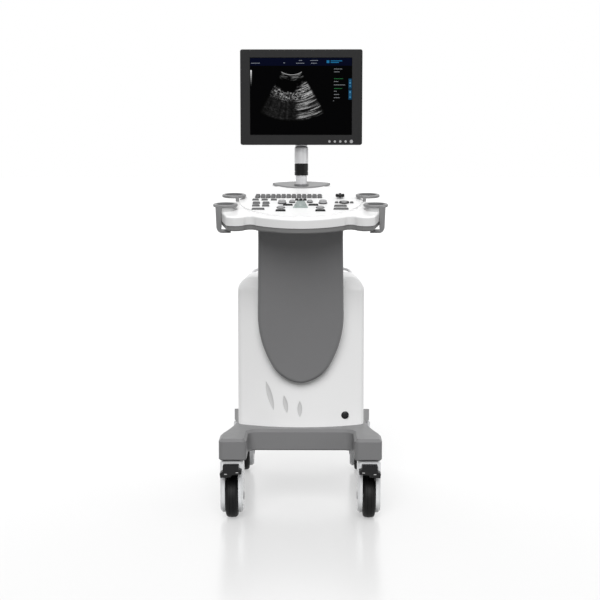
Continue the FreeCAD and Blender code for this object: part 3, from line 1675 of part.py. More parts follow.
def monitor_rear_cover():
    """The monitor's rear shell with a raised middle, and ears for the tilt pin."""
    body = new_body("monitor_rear_cover")
    join = "monitor_front_y + bezel_depth"
    edge = new_sketch(body, "XZ_Plane", "-rear_cover_y")
    add_rectangle(
        edge,
        "-monitor_width / 2", "monitor_bottom",
        "monitor_width / 2", "monitor_bottom + monitor_height",
    )
    block = pad(body, edge, f"rear_cover_y - ({join})")
    along_y = lambda box: box.XLength < 0.01 and box.ZLength < 0.01
    block = fillet(body, block, along_y, "monitor_corner")
    rear = value("rear_cover_y")
    block = fillet(body, block, lambda box: box.YLength < 0.01 and same(box.YMin, rear), "5")
    bulge = new_sketch(body, "XZ_Plane", "-rear_bulge_y")
    add_rectangle(bulge, "-130", "monitor_bottom + 14", "130", "monitor_bottom + 215")
    block = pad(body, bulge, "rear_bulge_y - rear_cover_y + 1")
    back = value("rear_bulge_y")
    fillet(body, block, lambda box: box.YLength < 0.01 and same(box.YMin, back), "10")
    well = new_sketch(body, "XZ_Plane", f"1 - ({join})")
    add_rectangle(
        well,
        "-monitor_width / 2 + 4", "monitor_bottom + 4",
        "monitor_width / 2 - 4", "monitor_bottom + monitor_height - 4",
    )
    pocket(body, well, f"rear_cover_y - ({join}) - 2")
    well = new_sketch(body, "XZ_Plane", f"-({join})")
    add_rectangle(well, "-122", "monitor_bottom + 22", "122", "monitor_bottom + 207")
    pocket(body, well, f"rear_bulge_y - ({join}) - 3")
    ears = new_sketch(body, "XZ_Plane", "-rear_bulge_y")
    add_rectangle(ears, "-hinge_notch - 14", "monitor_bottom + 0.5", "hinge_notch + 14", "1122")
    pad(body, ears, "rear_bulge_y - 28")
    notch = new_sketch(body, "XZ_Plane", "-rear_bulge_y - 5")
    add_rectangle(notch, "-hinge_notch", "monitor_bottom - 5", "hinge_notch", "1118")
    pocket(body, notch, "rear_bulge_y + 5 - 31", backwards=True)
    bore = new_sketch(body, "YZ_Plane")
    add_circle(bore, "mast_y", "hinge_z", "hinge_pin_radius + running_clearance")
    pocket(body, bore, "2 * hinge_notch + 40", both_sides=True)
    return body


def monitor_buttons():
    """Four small buttons and a larger power button along the bezel's lower right."""
    body = new_body("monitor_buttons")
    caps = new_sketch(body, "XZ_Plane", "-monitor_front_y + 1")
    for x, radius in MONITOR_BUTTONS:
        add_circle(caps, f"{x}", "monitor_button_z", f"{radius}")
    caps_pad = pad(body, caps, "9")
    caps_pad.Reversed = True
    return body


monitor_bezel()
lcd_panel()
monitor_rear_cover()
monitor_buttons()


# ---- check and write ----

doc.recompute()
faults = []
for item in doc.Objects:
    if "Invalid" in item.State or "Error" in item.State:
        faults.append(f"{item.Name}: {item.State}")
for item in NODES:
    if item.Shape.isNull() or not item.Shape.isValid() or not item.Shape.Solids:
        faults.append(f"{item.Label}: no valid solid")
if faults:
    raise RuntimeError("; ".join(faults))

os.makedirs("parts", exist_ok=True)
for item in NODES:
    item.Shape.exportStep(f"parts/{item.Label}.step")
print(f"{len(NODES)} sub-parts written")
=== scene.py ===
import json
import math

import bmesh
import bpy
from mathutils import Matrix, Vector


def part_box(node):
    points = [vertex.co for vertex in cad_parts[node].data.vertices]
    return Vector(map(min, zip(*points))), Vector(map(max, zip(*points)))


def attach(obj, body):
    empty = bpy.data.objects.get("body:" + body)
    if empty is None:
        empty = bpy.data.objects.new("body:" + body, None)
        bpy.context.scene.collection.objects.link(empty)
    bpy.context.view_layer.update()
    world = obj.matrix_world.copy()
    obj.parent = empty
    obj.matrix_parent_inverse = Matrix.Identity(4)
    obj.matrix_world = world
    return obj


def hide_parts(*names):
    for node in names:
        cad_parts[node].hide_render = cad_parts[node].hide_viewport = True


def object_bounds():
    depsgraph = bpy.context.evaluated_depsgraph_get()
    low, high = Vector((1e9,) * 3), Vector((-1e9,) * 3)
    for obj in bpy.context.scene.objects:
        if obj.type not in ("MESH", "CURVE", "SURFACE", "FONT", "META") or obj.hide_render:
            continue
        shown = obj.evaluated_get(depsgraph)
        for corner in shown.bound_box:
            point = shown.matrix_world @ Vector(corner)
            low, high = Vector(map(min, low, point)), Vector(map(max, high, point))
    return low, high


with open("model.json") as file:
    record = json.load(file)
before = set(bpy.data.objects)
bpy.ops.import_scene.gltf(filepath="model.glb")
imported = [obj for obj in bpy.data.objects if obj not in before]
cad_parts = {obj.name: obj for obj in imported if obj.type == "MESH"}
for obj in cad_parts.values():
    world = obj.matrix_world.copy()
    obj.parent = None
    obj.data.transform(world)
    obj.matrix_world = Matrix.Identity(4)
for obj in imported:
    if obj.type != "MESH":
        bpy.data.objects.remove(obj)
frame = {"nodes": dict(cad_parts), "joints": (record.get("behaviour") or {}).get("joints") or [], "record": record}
cad_low, cad_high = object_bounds()

# The looks of a trolley ultrasound machine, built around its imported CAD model. Lengths in the
# code are millimetres, turned into metres by MM; console pieces are drawn on the flat deck.

MM = 0.001
QUARTER_TURN = math.radians(90)
JOINTS = {joint["name"]: joint for joint in frame["joints"]}
SLOT_OF = {part["node"]: part["material_slot"] for part in frame["record"]["subparts"]}
CORNERS = ["front_left", "front_right", "rear_left", "rear_right"]


def box_corners(node):
    """The low and high corners of a CAD node's box, in millimetres."""
    low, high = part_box(node)
    return low / MM, high / MM


# ---- materials ----

def new_material(name):
    """A new node material: itself, its Principled shader, a maker of further nodes, and a
    linker from a node's output to a socket of the shader."""
    material = bpy.data.materials.new(name)
    material.use_nodes = True
    tree = material.node_tree
    shader = tree.nodes["Principled BSDF"]

    def add(kind, inputs=(), **settings):
        made = tree.nodes.new(kind)
        for key, setting in settings.items():
            setattr(made, key, setting)
        for socket, source in dict(inputs).items():
            if isinstance(source, bpy.types.NodeSocket):
                tree.links.new(source, made.inputs[socket])
            else:
                made.inputs[socket].default_value = source
        return made

    def link(source, socket):
        tree.links.new(source, shader.inputs[socket])

    return material, shader, add, link


def tinted(colour, factor=1.0):
    """A colour made lighter or darker by a factor, with full alpha."""
    return tuple(min(1.0, channel * factor) for channel in colour) + (1.0,)


DRIFT_SCALE = 9.0
SMUDGE_SCALE = 38.0
NOISE_SPAN = {"From Min": 0.3, "From Max": 0.7}
SPECK_SHARE = 0.5
BUMP_DEPTH = 0.3 * MM
COAT_ROUGHNESS = 0.12


def surface(name, colour, roughness, spread=0.05, mottle=0.04, grain=1400.0, relief=0.08,
            metallic=0.0, coat=0.0, brushed=None, specular=0.5):
    """A moulded, painted or brushed surface: fine grain in its relief, a slow drift in its
    colour and roughness, and a few broad handling smudges in its gloss."""
    material, shader, add, link = new_material(name)
    place = add("ShaderNodeTexCoord").outputs["Object"]
    fine_place = place
    if brushed is not None:
        stretch = add("ShaderNodeMapping", {"Vector": place, "Scale": brushed})
        fine_place = stretch.outputs["Vector"]
    drift = add("ShaderNodeTexNoise", {"Vector": place, "Scale": DRIFT_SCALE, "Detail": 3.0})
    fine = add("ShaderNodeTexNoise", {"Vector": fine_place, "Scale": grain, "Detail": 2.0})
    smudge = add("ShaderNodeTexNoise", {"Vector": place, "Scale": SMUDGE_SCALE, "Detail": 4.0})
    blend = add("ShaderNodeMix", {"Factor": drift.outputs["Fac"]}, data_type="RGBA")
    blend.inputs["A"].default_value = tinted(colour, 1.0 - mottle)
    blend.inputs["B"].default_value = tinted(colour, 1.0 + mottle)
    speck = add("ShaderNodeMix", data_type="RGBA")
    speck.blend_type = "MULTIPLY"
    speck.inputs["Factor"].default_value = SPECK_SHARE
    tone = add("ShaderNodeMapRange", {"Value": fine.outputs["Fac"], **NOISE_SPAN,
                                      "To Min": 1.0 - mottle, "To Max": 1.0})
    tree = material.node_tree
    tree.links.new(blend.outputs["Result"], speck.inputs["A"])
    tree.links.new(tone.outputs["Result"], speck.inputs["B"])
    link(speck.outputs["Result"], "Base Color")
    gloss = add("ShaderNodeMapRange", {"Value": smudge.outputs["Fac"], **NOISE_SPAN,
                                       "To Min": roughness - spread / 2,
                                       "To Max": roughness + spread / 2})
    link(gloss.outputs["Result"], "Roughness")
    bump = add("ShaderNodeBump", {"Height": fine.outputs["Fac"], "Strength": relief,
                                  "Distance": BUMP_DEPTH})
    link(bump.outputs["Normal"], "Normal")
    shader.inputs["Metallic"].default_value = metallic
    shader.inputs["Specular IOR Level"].default_value = specular
    shader.inputs["Coat Weight"].default_value = coat
    shader.inputs["Coat Roughness"].default_value = COAT_ROUGHNESS
    return material


ROW_SCALE = 300.0
ROW_DIP = 0.85


def make_lit(shader):
    """Makes a shader give light like the picture on a panel: black glass with no gloss."""
    shader.inputs["Base Color"].default_value = (0.0, 0.0, 0.0, 1.0)
    shader.inputs["Emission Strength"].default_value = 1.0
    shader.inputs["Specular IOR Level"].default_value = 0.02
    shader.inputs["Roughness"].default_value = 0.35


def glowing(name, colour):
    """A mark on the lit screen: even light with a faint row pattern."""
    material, shader, add, link = new_material(name)
    place = add("ShaderNodeTexCoord").outputs["Object"]
    rows = add("ShaderNodeTexWave", {"Vector": place, "Scale": ROW_SCALE, "Distortion": 0.0})
    rows.bands_direction = "Z"
    level = add("ShaderNodeMix", {"Factor": rows.outputs["Fac"]}, data_type="RGBA")
    level.inputs["A"].default_value = tinted(colour, ROW_DIP)
    level.inputs["B"].default_value = tinted(colour)
    link(level.outputs["Result"], "Emission Color")
    make_lit(shader)
    return material


SURFACES = {
    "white_gloss_plastic": surface("white_moulded_plastic", (0.83, 0.83, 0.83), 0.28,
                                   spread=0.012, mottle=0.006, grain=2200.0, relief=0.012,
                                   coat=0.15),
    "panel_white_plastic": surface("white_panel_plastic", (0.84, 0.84, 0.84), 0.36,
                                   spread=0.015, mottle=0.006, grain=1800.0, relief=0.02),
    "base_grey_plastic": surface("grey_base_plastic", (0.175, 0.175, 0.178), 0.42,
                                 mottle=0.04, grain=1300.0, relief=0.14),
    "column_grey_plastic": surface("grey_column_plastic", (0.155, 0.155, 0.158), 0.34,
                                   mottle=0.03, grain=1700.0, relief=0.08),
    "trim_grey_plastic": surface("grey_trim_plastic", (0.195, 0.195, 0.195), 0.45,
                                 mottle=0.04, grain=1300.0, relief=0.14),
    "holder_grey_plastic": surface("grey_holder_plastic", (0.215, 0.215, 0.217), 0.38,
                                   mottle=0.03, grain=1500.0, relief=0.10),
    "key_grey": surface("grey_key_plastic", (0.10, 0.10, 0.102), 0.5, mottle=0.05),
    "key_black": surface("black_key_plastic", (0.010, 0.010, 0.0105), 0.40, mottle=0.08,
                         specular=0.25),
    "trackball_grey_green": surface("grey_green_plastic", (0.28, 0.33, 0.315), 0.42),
    "ball_grey": surface("ball_resin", (0.30, 0.34, 0.33), 0.30, grain=420.0, mottle=0.18,
                         relief=0.0),
    "knob_grey": surface("grey_knob_plastic", (0.32, 0.32, 0.325), 0.42),
    "monitor_black_plastic": surface("black_monitor_plastic", (0.010, 0.010, 0.0105), 0.45,
                                     mottle=0.06, grain=1600.0, relief=0.16, specular=0.25),
    "screen": surface("dark_screen", (0.0006, 0.0006, 0.0008), 0.30, spread=0.02, relief=0.0,
                      specular=0.02),
    "button_grey": surface("grey_button_plastic", (0.36, 0.36, 0.365), 0.38),
    "mast_silver": surface("silver_mast_paint", (0.62, 0.62, 0.63), 0.32, metallic=0.25,
                           mottle=0.02, grain=3000.0, relief=0.04),
    "collar_black": surface("black_collar_plastic", (0.006, 0.006, 0.006), 0.33,
                            specular=0.22),
    "socket_grey": surface("grey_socket_metal", (0.17, 0.17, 0.175), 0.38, metallic=0.3),
    "frame_steel": surface("brushed_steel", (0.50, 0.50, 0.51), 0.32, metallic=1.0,
                           grain=300.0, relief=0.12, brushed=(1.0, 14.0, 1.0)),
    "chassis_steel": surface("painted_steel", (0.06, 0.06, 0.06), 0.5, grain=700.0,
                             relief=0.3),
    "sheet_metal": surface("zinc_sheet", (0.55, 0.56, 0.57), 0.38, metallic=1.0,
                           mottle=0.12, grain=160.0, relief=0.04),
    "inlet_black": surface("black_inlet_plastic", (0.02, 0.02, 0.02), 0.4, specular=0.3),
    "tyre_rubber": surface("tyre_rubber", (0.005, 0.005, 0.0053), 0.55, mottle=0.15,
                           grain=900.0, relief=0.3, specular=0.2),
    "hub_grey": surface("grey_hub_plastic", (0.42, 0.42, 0.43), 0.42),
    "caster_white_plastic": surface("white_caster_plastic", (0.80, 0.81, 0.82), 0.26,
                                    spread=0.012, mottle=0.008, grain=2000.0, relief=0.015,
                                    coat=0.2),
    "pedal_black": surface("black_pedal_plastic", (0.008, 0.008, 0.0085), 0.42,
                           specular=0.25),
}
PRINT_WHITE = surface("white_print", (0.75, 0.75, 0.75), 0.5, relief=0.02)
PRINT_GREY = surface("grey_print", (0.34, 0.34, 0.345), 0.5, relief=0.02)
# Painted shade: a near-black finish for flat strips that stand in for the shadowed insides of vent slots.
VENT_PAINTED_SHADE = surface("vent_painted_shade", (0.012, 0.012, 0.012), 0.7, relief=0.05)
LINER = surface("soft_liner_rubber", (0.13, 0.13, 0.132), 0.6, grain=1000.0, relief=0.2)
GOLD_CONTACT = surface("gold_contact", (0.72, 0.50, 0.20), 0.3, metallic=1.0)
# Painted shade: the leaf hollows are a darker grey than the white front, standing in for the shade that falls in
# the recesses.
LEAF_PAINTED_SHADE = surface("leaf_hollow_painted_shade", (0.60, 0.60, 0.60), 0.30, mottle=0.02,
                     grain=2200.0, relief=0.03)

for node_name, node_object in frame["nodes"].items():
    node_object.data.materials.clear()
    node_object.data.materials.append(SURFACES[SLOT_OF[node_name]])


# ---- building helpers ----

def joint_matrix(normal, point):
    """A frame whose Z runs along the normal and whose X stays level, at a point."""
    up = Vector(normal).normalized()
    across = Vector((1, 0, 0))
    along = up.cross(across).normalized()
    across = along.cross(up)
    facing = Matrix((across, along, up)).transposed().to_4x4()
    return Matrix.Translation(Vector(point)) @ facing


DIAL_X = 123.5
DIAL_Y = 183
dial = JOINTS["dial_ring_turn"]
DECK = joint_matrix(dial["axis"], dial["pos_m"]) @ Matrix.Translation(
    Vector((-DIAL_X, -DIAL_Y, 0)) * MM
)
WORLD = Matrix.Identity(4)


def deck_spot(x, y):
    """The deck's frame moved to a place on the deck."""
    return DECK @ Matrix.Translation(Vector((x, y, 0)) * MM)


def ring_of(outline, level):
    """An outline's points at one height."""
    return [Vector((x, y, level)) for x, y in outline]


def rounded_rectangle(x, y, width, depth, radius, steps=5):
    """Points round a rectangle with round corners, anticlockwise."""
    points = []
    corners = [(1, 1, 0), (-1, 1, 90), (-1, -1, 180), (1, -1, 270)]
    for side_x, side_y, start in corners:
        middle_x = x + side_x * (width / 2 - radius)
        middle_y = y + side_y * (depth / 2 - radius)
        for step in range(steps + 1):
            angle = math.radians(start + 90 * step / steps)
            points.append((middle_x + radius * math.cos(angle),
                           middle_y + radius * math.sin(angle)))
    return points


def loft(mesh, rings, matrix=WORLD, close_start=True, close_end=True):
    """Joins rings of points with quads and closes the ends; rings run anticlockwise upwards."""
    rows = []
    for ring in rings:
        rows.append([mesh.verts.new(matrix @ (Vector(point) * MM)) for point in ring])
    count = len(rows[0])
    for lower, upper in zip(rows, rows[1:]):
        for n in range(count):
            after = (n + 1) % count
            mesh.faces.new((lower[n], lower[after], upper[after], upper[n]))
    if close_start:
        mesh.faces.new(list(reversed(rows[0])))
    if close_end:
        mesh.faces.new(rows[-1])


def lathe(mesh, profile, matrix=WORLD, count=48, flutes=0, flute_depth=0.0, fluted=()):
    """Turns a profile of (radius, height) about Z. A profile that ends where it starts makes
    a closed ring; the rings numbered in fluted get waves round their edge."""
    rings = []
    for number, (radius, level) in enumerate(profile):
        ring = []
        for n in range(count):
            angle = 2 * math.pi * n / count
            wave = 0.0
            if number in fluted:
                wave = flute_depth * (0.5 + 0.5 * math.cos(flutes * angle))
            ring.append(((radius - wave) * math.cos(angle),
                         (radius - wave) * math.sin(angle), level))
        rings.append(ring)
    closed = profile[0] == profile[-1]
    if not closed:
        loft(mesh, rings, matrix)
        return
    rows = [[mesh.verts.new(matrix @ (Vector(p) * MM)) for p in ring] for ring in rings[:-1]]
    for number, lower in enumerate(rows):
        upper = rows[(number + 1) % len(rows)]
        for n in range(count):
            after = (n + 1) % count
            mesh.faces.new((lower[n], lower[after], upper[after], upper[n]))


def finish_piece(name, mesh, material, body, replaces=(), sharp=35.0):
    """Turns a bmesh into a smooth-shaded piece that rides on a body."""
    bmesh.ops.recalc_face_normals(mesh, faces=mesh.faces)
    data = bpy.data.meshes.new(name)
    mesh.to_mesh(data)
    mesh.free()
    data.shade_smooth()
    data.set_sharp_from_angle(angle=math.radians(sharp))
    data.materials.append(material)
    piece = bpy.data.objects.new(name, data)
    bpy.context.scene.collection.objects.link(piece)
    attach(piece, body)
    if replaces:
        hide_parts(*replaces)
    return piece


def bar(mesh, low, high, matrix=WORLD, edge=0.0):
    """A straight-sided block between two corners, with its edges eased when edge is given."""
    x0, y0, z0 = low
    x1, y1, z1 = high
    if edge <= 0:
        outline = [(x1, y1), (x0, y1), (x0, y0), (x1, y0)]
        loft(mesh, [ring_of(outline, z0), ring_of(outline, z1)], matrix)
        return
    middle = ((x0 + x1) / 2, (y0 + y1) / 2)
    size = (x1 - x0, y1 - y0)
    rings = []
    for inset, level in ((edge, z0), (0.3 * edge, z0 + 0.3 * edge), (0, z0 + edge),
                         (0, z1 - edge), (0.3 * edge, z1 - 0.3 * edge), (edge, z1)):
        outline = rounded_rectangle(
            *middle, size[0] - 2 * inset, size[1] - 2 * inset, max(0.2, edge * 1.2 - inset), 3,
        )
        rings.append(ring_of(outline, level))
    loft(mesh, rings, matrix)


KEY_LOW = 2.0
KEY_HIGH = 8.0
KEY_DISH = 0.5
KEY_DISH_INSET = 2.6
KEY_DISH_SHARE = 0.45
KEY_FACES = [
    (0.0, KEY_LOW), (0.5, KEY_HIGH - 1.4), (0.7, KEY_HIGH - 0.6), (1.1, KEY_HIGH - 0.15),
    (1.7, KEY_HIGH), (KEY_DISH_INSET, KEY_HIGH - 0.25 * KEY_DISH),
]


def key_cap(mesh, x, y, width, depth, corner=2.0):
    """A key: round corners, drawn-in sides, an eased edge and a dished top."""
    rings = []
    for inset, level in KEY_FACES:
        outline = rounded_rectangle(
            x, y, width - 2 * inset, depth - 2 * inset, max(0.4, corner - 0.6 * inset), 4,
        )
        rings.append(ring_of(outline, level))
    inner_width = (width - 2 * KEY_DISH_INSET) * KEY_DISH_SHARE
    inner_depth = (depth - 2 * KEY_DISH_INSET) * KEY_DISH_SHARE
    outline = rounded_rectangle(
        x, y, inner_width, inner_depth, 0.4 * min(inner_width, inner_depth), 4,
    )
    rings.append(ring_of(outline, KEY_HIGH - KEY_DISH))
    loft(mesh, rings, DECK)


PRINT_RISE = 0.12
PATTERNS = [
    [(0, 0.7, 1.8, 0.5), (0, -0.7, 1.0, 0.5)],
    [(-0.7, 0, 0.6, 1.6), (0.8, 0.5, 1.0, 0.5)],
    [(0, 0, 2.0, 0.6)],
    [(0.5, 0.6, 1.2, 0.5), (-0.5, -0.6, 1.2, 0.5)],
]


def marks(mesh, x, y, number):
    """A small generic print of bars and dots on a key top; the number picks its pattern."""
    level = KEY_HIGH - KEY_DISH
    for left, front, width, depth in PATTERNS[number % len(PATTERNS)]:
        outline = rounded_rectangle(x + left, y + front, width, depth, 0.2, 2)
        loft(mesh, [ring_of(outline, level), ring_of(outline, level + PRINT_RISE)], DECK)


# ---- console keys and dials ----

KEY_ROWS = 4
KEY_COLUMNS = 13
KEY_PITCH = (15.0, 10.5)
KEY_CAP = (12.6, 8.4)
KEYBOARD_CORNER = (-131.8, 245.0)

caps = bmesh.new()
prints = bmesh.new()
for row in range(KEY_ROWS):
    for column in range(KEY_COLUMNS):
        key_x = KEYBOARD_CORNER[0] + KEY_CAP[0] / 2 + column * KEY_PITCH[0]
        key_y = KEYBOARD_CORNER[1] + KEY_CAP[1] / 2 + row * KEY_PITCH[1]
        key_cap(caps, key_x, key_y, *KEY_CAP)
        marks(prints, key_x, key_y, row * 5 + column)
finish_piece("keyboard_caps", caps, SURFACES["key_grey"], "keyboard_keys",
             ["keyboard_keys"])
finish_piece("keyboard_prints", prints, PRINT_GREY, "keyboard_keys")

# Single keys, as x, y, width and depth on the deck.
SQUARE_KEYS = [
    (-130, 219, 19, 10), (-104, 219, 18, 10), (-77.5, 219, 18, 10),
    (-126, 179, 21, 15), (-98.5, 179, 20, 15),
    (-126, 145, 21, 15), (-98.5, 145, 20, 15),
    (102, 183, 10, 10), (145, 183, 10, 10),
]
OVAL_KEYS = [(-118, 103, 36, 11), (112, 141, 36, 13), (113, 105, 42, 13)]
SQUARE_CORNER = 0.3
OVAL_CORNER = 0.48
caps = bmesh.new()
prints = bmesh.new()
for number, (key_x, key_y, width, depth) in enumerate(SQUARE_KEYS + OVAL_KEYS):
    share = SQUARE_CORNER if number < len(SQUARE_KEYS) else OVAL_CORNER
    key_cap(caps, key_x, key_y, width, depth, min(width, depth) * share)
    marks(prints, key_x, key_y, number)
finish_piece("function_caps", caps, SURFACES["key_grey"], "function_keys",
             ["function_keys"])
finish_piece("function_prints", prints, PRINT_GREY, "function_keys")

DARK_KEYS = [(-36, 153, 28, 9), (36, 153, 28, 9), (-55, 85, 28, 13), (55, 85, 28, 13)]
MIDDLE_KEY = (0, 219, 34, 13)
MIDDLE_GAP = 0.8
MIDDLE_CORNER = 2.5
caps = bmesh.new()
for key_x, key_y, width, depth in DARK_KEYS:
    key_cap(caps, key_x, key_y, width, depth, depth * OVAL_CORNER)
middle_x, middle_y, width, depth = MIDDLE_KEY
for step in (-1, 0, 1):
    key_cap(caps, middle_x + step * width / 3, middle_y, width / 3 - MIDDLE_GAP, depth,
            MIDDLE_CORNER)
finish_piece("dark_key_caps", caps, SURFACES["key_black"], "soft_keys",
             ["soft_keys"])

ROUND_KEYS = [(-55, 123), (55, 123)]
ROUND_KEY_RADIUS = 12.0
# Turned profiles are lists of radius and height.
SKIRT_PROFILE = [
    (ROUND_KEY_RADIUS - 1.0, KEY_LOW), (ROUND_KEY_RADIUS, KEY_LOW + 0.4),
    (ROUND_KEY_RADIUS, KEY_LOW + 3.0), (ROUND_KEY_RADIUS - 0.6, KEY_LOW + 3.6),
    (ROUND_KEY_RADIUS - 3.0, KEY_LOW + 3.6),
]
DOME_PROFILE = [
    (ROUND_KEY_RADIUS - 1.2, KEY_LOW + 3.5), (ROUND_KEY_RADIUS - 1.2, KEY_HIGH - 1.2),
    (ROUND_KEY_RADIUS - 1.8, KEY_HIGH - 0.5), (ROUND_KEY_RADIUS - 3.2, KEY_HIGH),
    (ROUND_KEY_RADIUS - 5.0, KEY_HIGH - 0.2), (3.0, KEY_HIGH - 0.7),
]
domes = bmesh.new()
skirts = bmesh.new()
for key_x, key_y in ROUND_KEYS:
    spot = deck_spot(key_x, key_y)
    lathe(skirts, SKIRT_PROFILE, spot)
    lathe(domes, DOME_PROFILE, spot)
finish_piece("round_key_domes", domes, SURFACES["knob_grey"], "soft_keys")
finish_piece("round_key_skirts", skirts, SURFACES["key_black"], "soft_keys")

PLATE_TOP = 4.4
POINTER_START = 0.28


def knob(name, radius, rise):
    """A fluted turning knob: a dark skirt, a grey body with a domed cap and a pointer bar."""
    joint = JOINTS[f"{name}_turn"]
    spot = joint_matrix(joint["axis"], joint["pos_m"])
    low = PLATE_TOP
    high = low + rise
    skirt = bmesh.new()
    lathe(skirt, [(radius - 0.6, low), (radius, low + 0.5), (radius, low + 1.6),
                  (radius - 0.6, low + 2.3), (radius - 2.0, low + 2.4)], spot, count=96)
    finish_piece(f"{name}_skirt", skirt, SURFACES["key_black"], name, [name])
    grip = bmesh.new()
    lathe(grip, [
        (radius - 1.4, low + 2.2), (radius - 1.4, low + 3.0), (radius - 1.8, high - 1.6),
        (radius - 2.3, high - 0.6), (radius - 3.2, high - 0.1), (radius - 4.4, high - 0.3),
        (1.0, high - 0.6),
    ], spot, count=120, flutes=20, flute_depth=0.5, fluted=(1, 2))
    finish_piece(f"{name}_grip", grip, SURFACES["knob_grey"], name, [name])
    pointer = bmesh.new()
    bar(pointer, (-0.5, radius * POINTER_START, high - 0.5), (0.5, radius - 3.4, high), spot,
        0.15)
    finish_piece(f"{name}_pointer", pointer, PRINT_WHITE, name)


knob("left_gain_knob", 12.5, 9)
knob("right_gain_knob", 12.5, 9)
knob("left_menu_knob", 9, 7)
knob("right_menu_knob", 9, 7)

DIAL_RADIUS = 14.5
DIAL_TOP = PLATE_TOP + 3.4
DIAL_MIDDLE_RADIUS = 9.8
spot = joint_matrix(dial["axis"], dial["pos_m"])
wheel = bmesh.new()
lathe(wheel, [
    (DIAL_RADIUS - 0.6, PLATE_TOP), (DIAL_RADIUS, PLATE_TOP + 0.5),
    (DIAL_RADIUS, DIAL_TOP - 1.0), (DIAL_RADIUS - 0.7, DIAL_TOP - 0.1),
    (DIAL_RADIUS - 3.2, DIAL_TOP), (DIAL_RADIUS - 3.9, DIAL_TOP - 0.6),
    (DIAL_RADIUS - 4.2, DIAL_TOP - 1.7), (2.0, DIAL_TOP - 1.9),
], spot, count=144, flutes=36, flute_depth=0.3, fluted=(1, 2))
finish_piece("dial_ring_body", wheel, SURFACES["key_black"], "dial_ring",
             ["dial_ring"])
button = bmesh.new()
lathe(button, [
    (DIAL_MIDDLE_RADIUS, DIAL_TOP - 1.9), (DIAL_MIDDLE_RADIUS, DIAL_TOP - 1.2),
    (DIAL_MIDDLE_RADIUS - 0.6, DIAL_TOP - 0.8), (5.5, DIAL_TOP - 1.2), (1.0, DIAL_TOP - 1.3),
], spot, count=96)
finish_piece("dial_ring_middle", button, SURFACES["knob_grey"], "dial_ring")

PAD_X = 113
PAD_Y = 241
PAD_LOW = 9.0
PAD_HIGH = 18.0
LOBE_REACH = 8.4
LOBE_SIZE = (9.0, 9.6)
LOBE_CORNER = 3.8
# Inset, height and outward lean of each ring of a lobe.
LOBE_FACES = [
    (1.0, PAD_LOW, 0.0), (0.2, PAD_LOW + 1.2, 0.0), (0.0, PAD_LOW + 4.5, 0.3),
    (0.5, PAD_HIGH - 2.2, 0.8), (1.6, PAD_HIGH - 1.0, 1.0), (3.2, PAD_HIGH - 0.6, 1.0),
]
spot = deck_spot(PAD_X, PAD_Y)
lobes = bmesh.new()
for turn in range(4):
    lobe_spot = spot @ Matrix.Rotation(math.radians(90 * turn), 4, "Z")
    rings = []
    for inset, level, lean in LOBE_FACES:
        outline = rounded_rectangle(
            LOBE_REACH, 0.0, LOBE_SIZE[0] - 2 * inset, LOBE_SIZE[1] - 2 * inset,
            max(0.5, LOBE_CORNER - inset),
        )
        rings.append([Vector((x, y, level + lean * (x - LOBE_REACH) / LOBE_SIZE[0]))
                      for x, y in outline])
    loft(lobes, rings, lobe_spot)
finish_piece("cross_pad_lobes", lobes, SURFACES["key_black"], "cross_pad",
             ["cross_pad"])
hub = bmesh.new()
lathe(hub, [(8.5, KEY_LOW), (8.5, PAD_LOW - 1.0), (7.8, PAD_LOW - 0.1), (4.6, PAD_LOW + 0.4),
            (4.2, PAD_LOW + 4.4), (3.4, PAD_LOW + 5.2), (0.8, PAD_LOW + 5.5)], spot)
finish_piece("cross_pad_hub", hub, SURFACES["button_grey"], "cross_pad")

BALL_RADIUS = 16.0
BALL_Y = 145
BALL_UNIT_TOP = 7.0
BALL_STEPS = 40
spot = deck_spot(0, BALL_Y)
ball = bmesh.new()
profile = []
for step in range(1, BALL_STEPS):
    angle = math.radians(-90 + 180 * step / BALL_STEPS)
    profile.append((BALL_RADIUS * math.cos(angle), BALL_RADIUS * math.sin(angle)))
lathe(ball, profile, spot, count=72)
finish_piece("trackball_sphere", ball, SURFACES["ball_grey"], "trackball",
             ["trackball"], sharp=60)
lip = bmesh.new()
lathe(lip, [(15.2, BALL_UNIT_TOP - 0.1), (15.5, BALL_UNIT_TOP + 0.5),
            (16.1, BALL_UNIT_TOP + 0.8), (16.9, BALL_UNIT_TOP + 0.5),
            (17.2, BALL_UNIT_TOP - 0.2), (16.1, BALL_UNIT_TOP - 0.6),
            (15.2, BALL_UNIT_TOP - 0.1)], spot, count=72)
finish_piece("trackball_lip", lip, SURFACES["trackball_grey_green"], "base")


# ---- probe holders ----

RING_PROFILE = [
    (24.6, -4.0), (31.5, -4.0), (33.6, -3.2), (34.5, -1.4), (34.5, 1.6), (33.7, 3.2),
    (32.2, 4.0), (27.0, 4.0), (25.6, 3.6), (24.6, 2.8), (24.6, -4.0),
]
LINER_PROFILE = [
    (23.0, -4.0), (24.6, -4.0), (24.6, 2.7), (25.5, 3.5), (25.9, 4.0), (24.6, 4.0),
    (23.4, 3.4), (23.0, 2.4), (23.0, -4.0),
]
BRACKET_LOW = (-16.0, -33.0, -13.0)
BRACKET_HIGH = (-6.0, -23.5, 3.2)
POST_X = 16.5
POST_Y = -30.5
POST_TOP = 1.0
POST_HALF = 9.0
POST_THICKNESS = 13.0
POST_CORNER = 2.4
BEND_TOP = -58.0
BEND_DROP = 10.25
BEND_X = 9.5
BEND_STEPS = 6
FOOT_X = -16.0
FOOT_HALF = 4.75
TAPER_TOP = -50.0
TAPER_LENGTH = 18.0


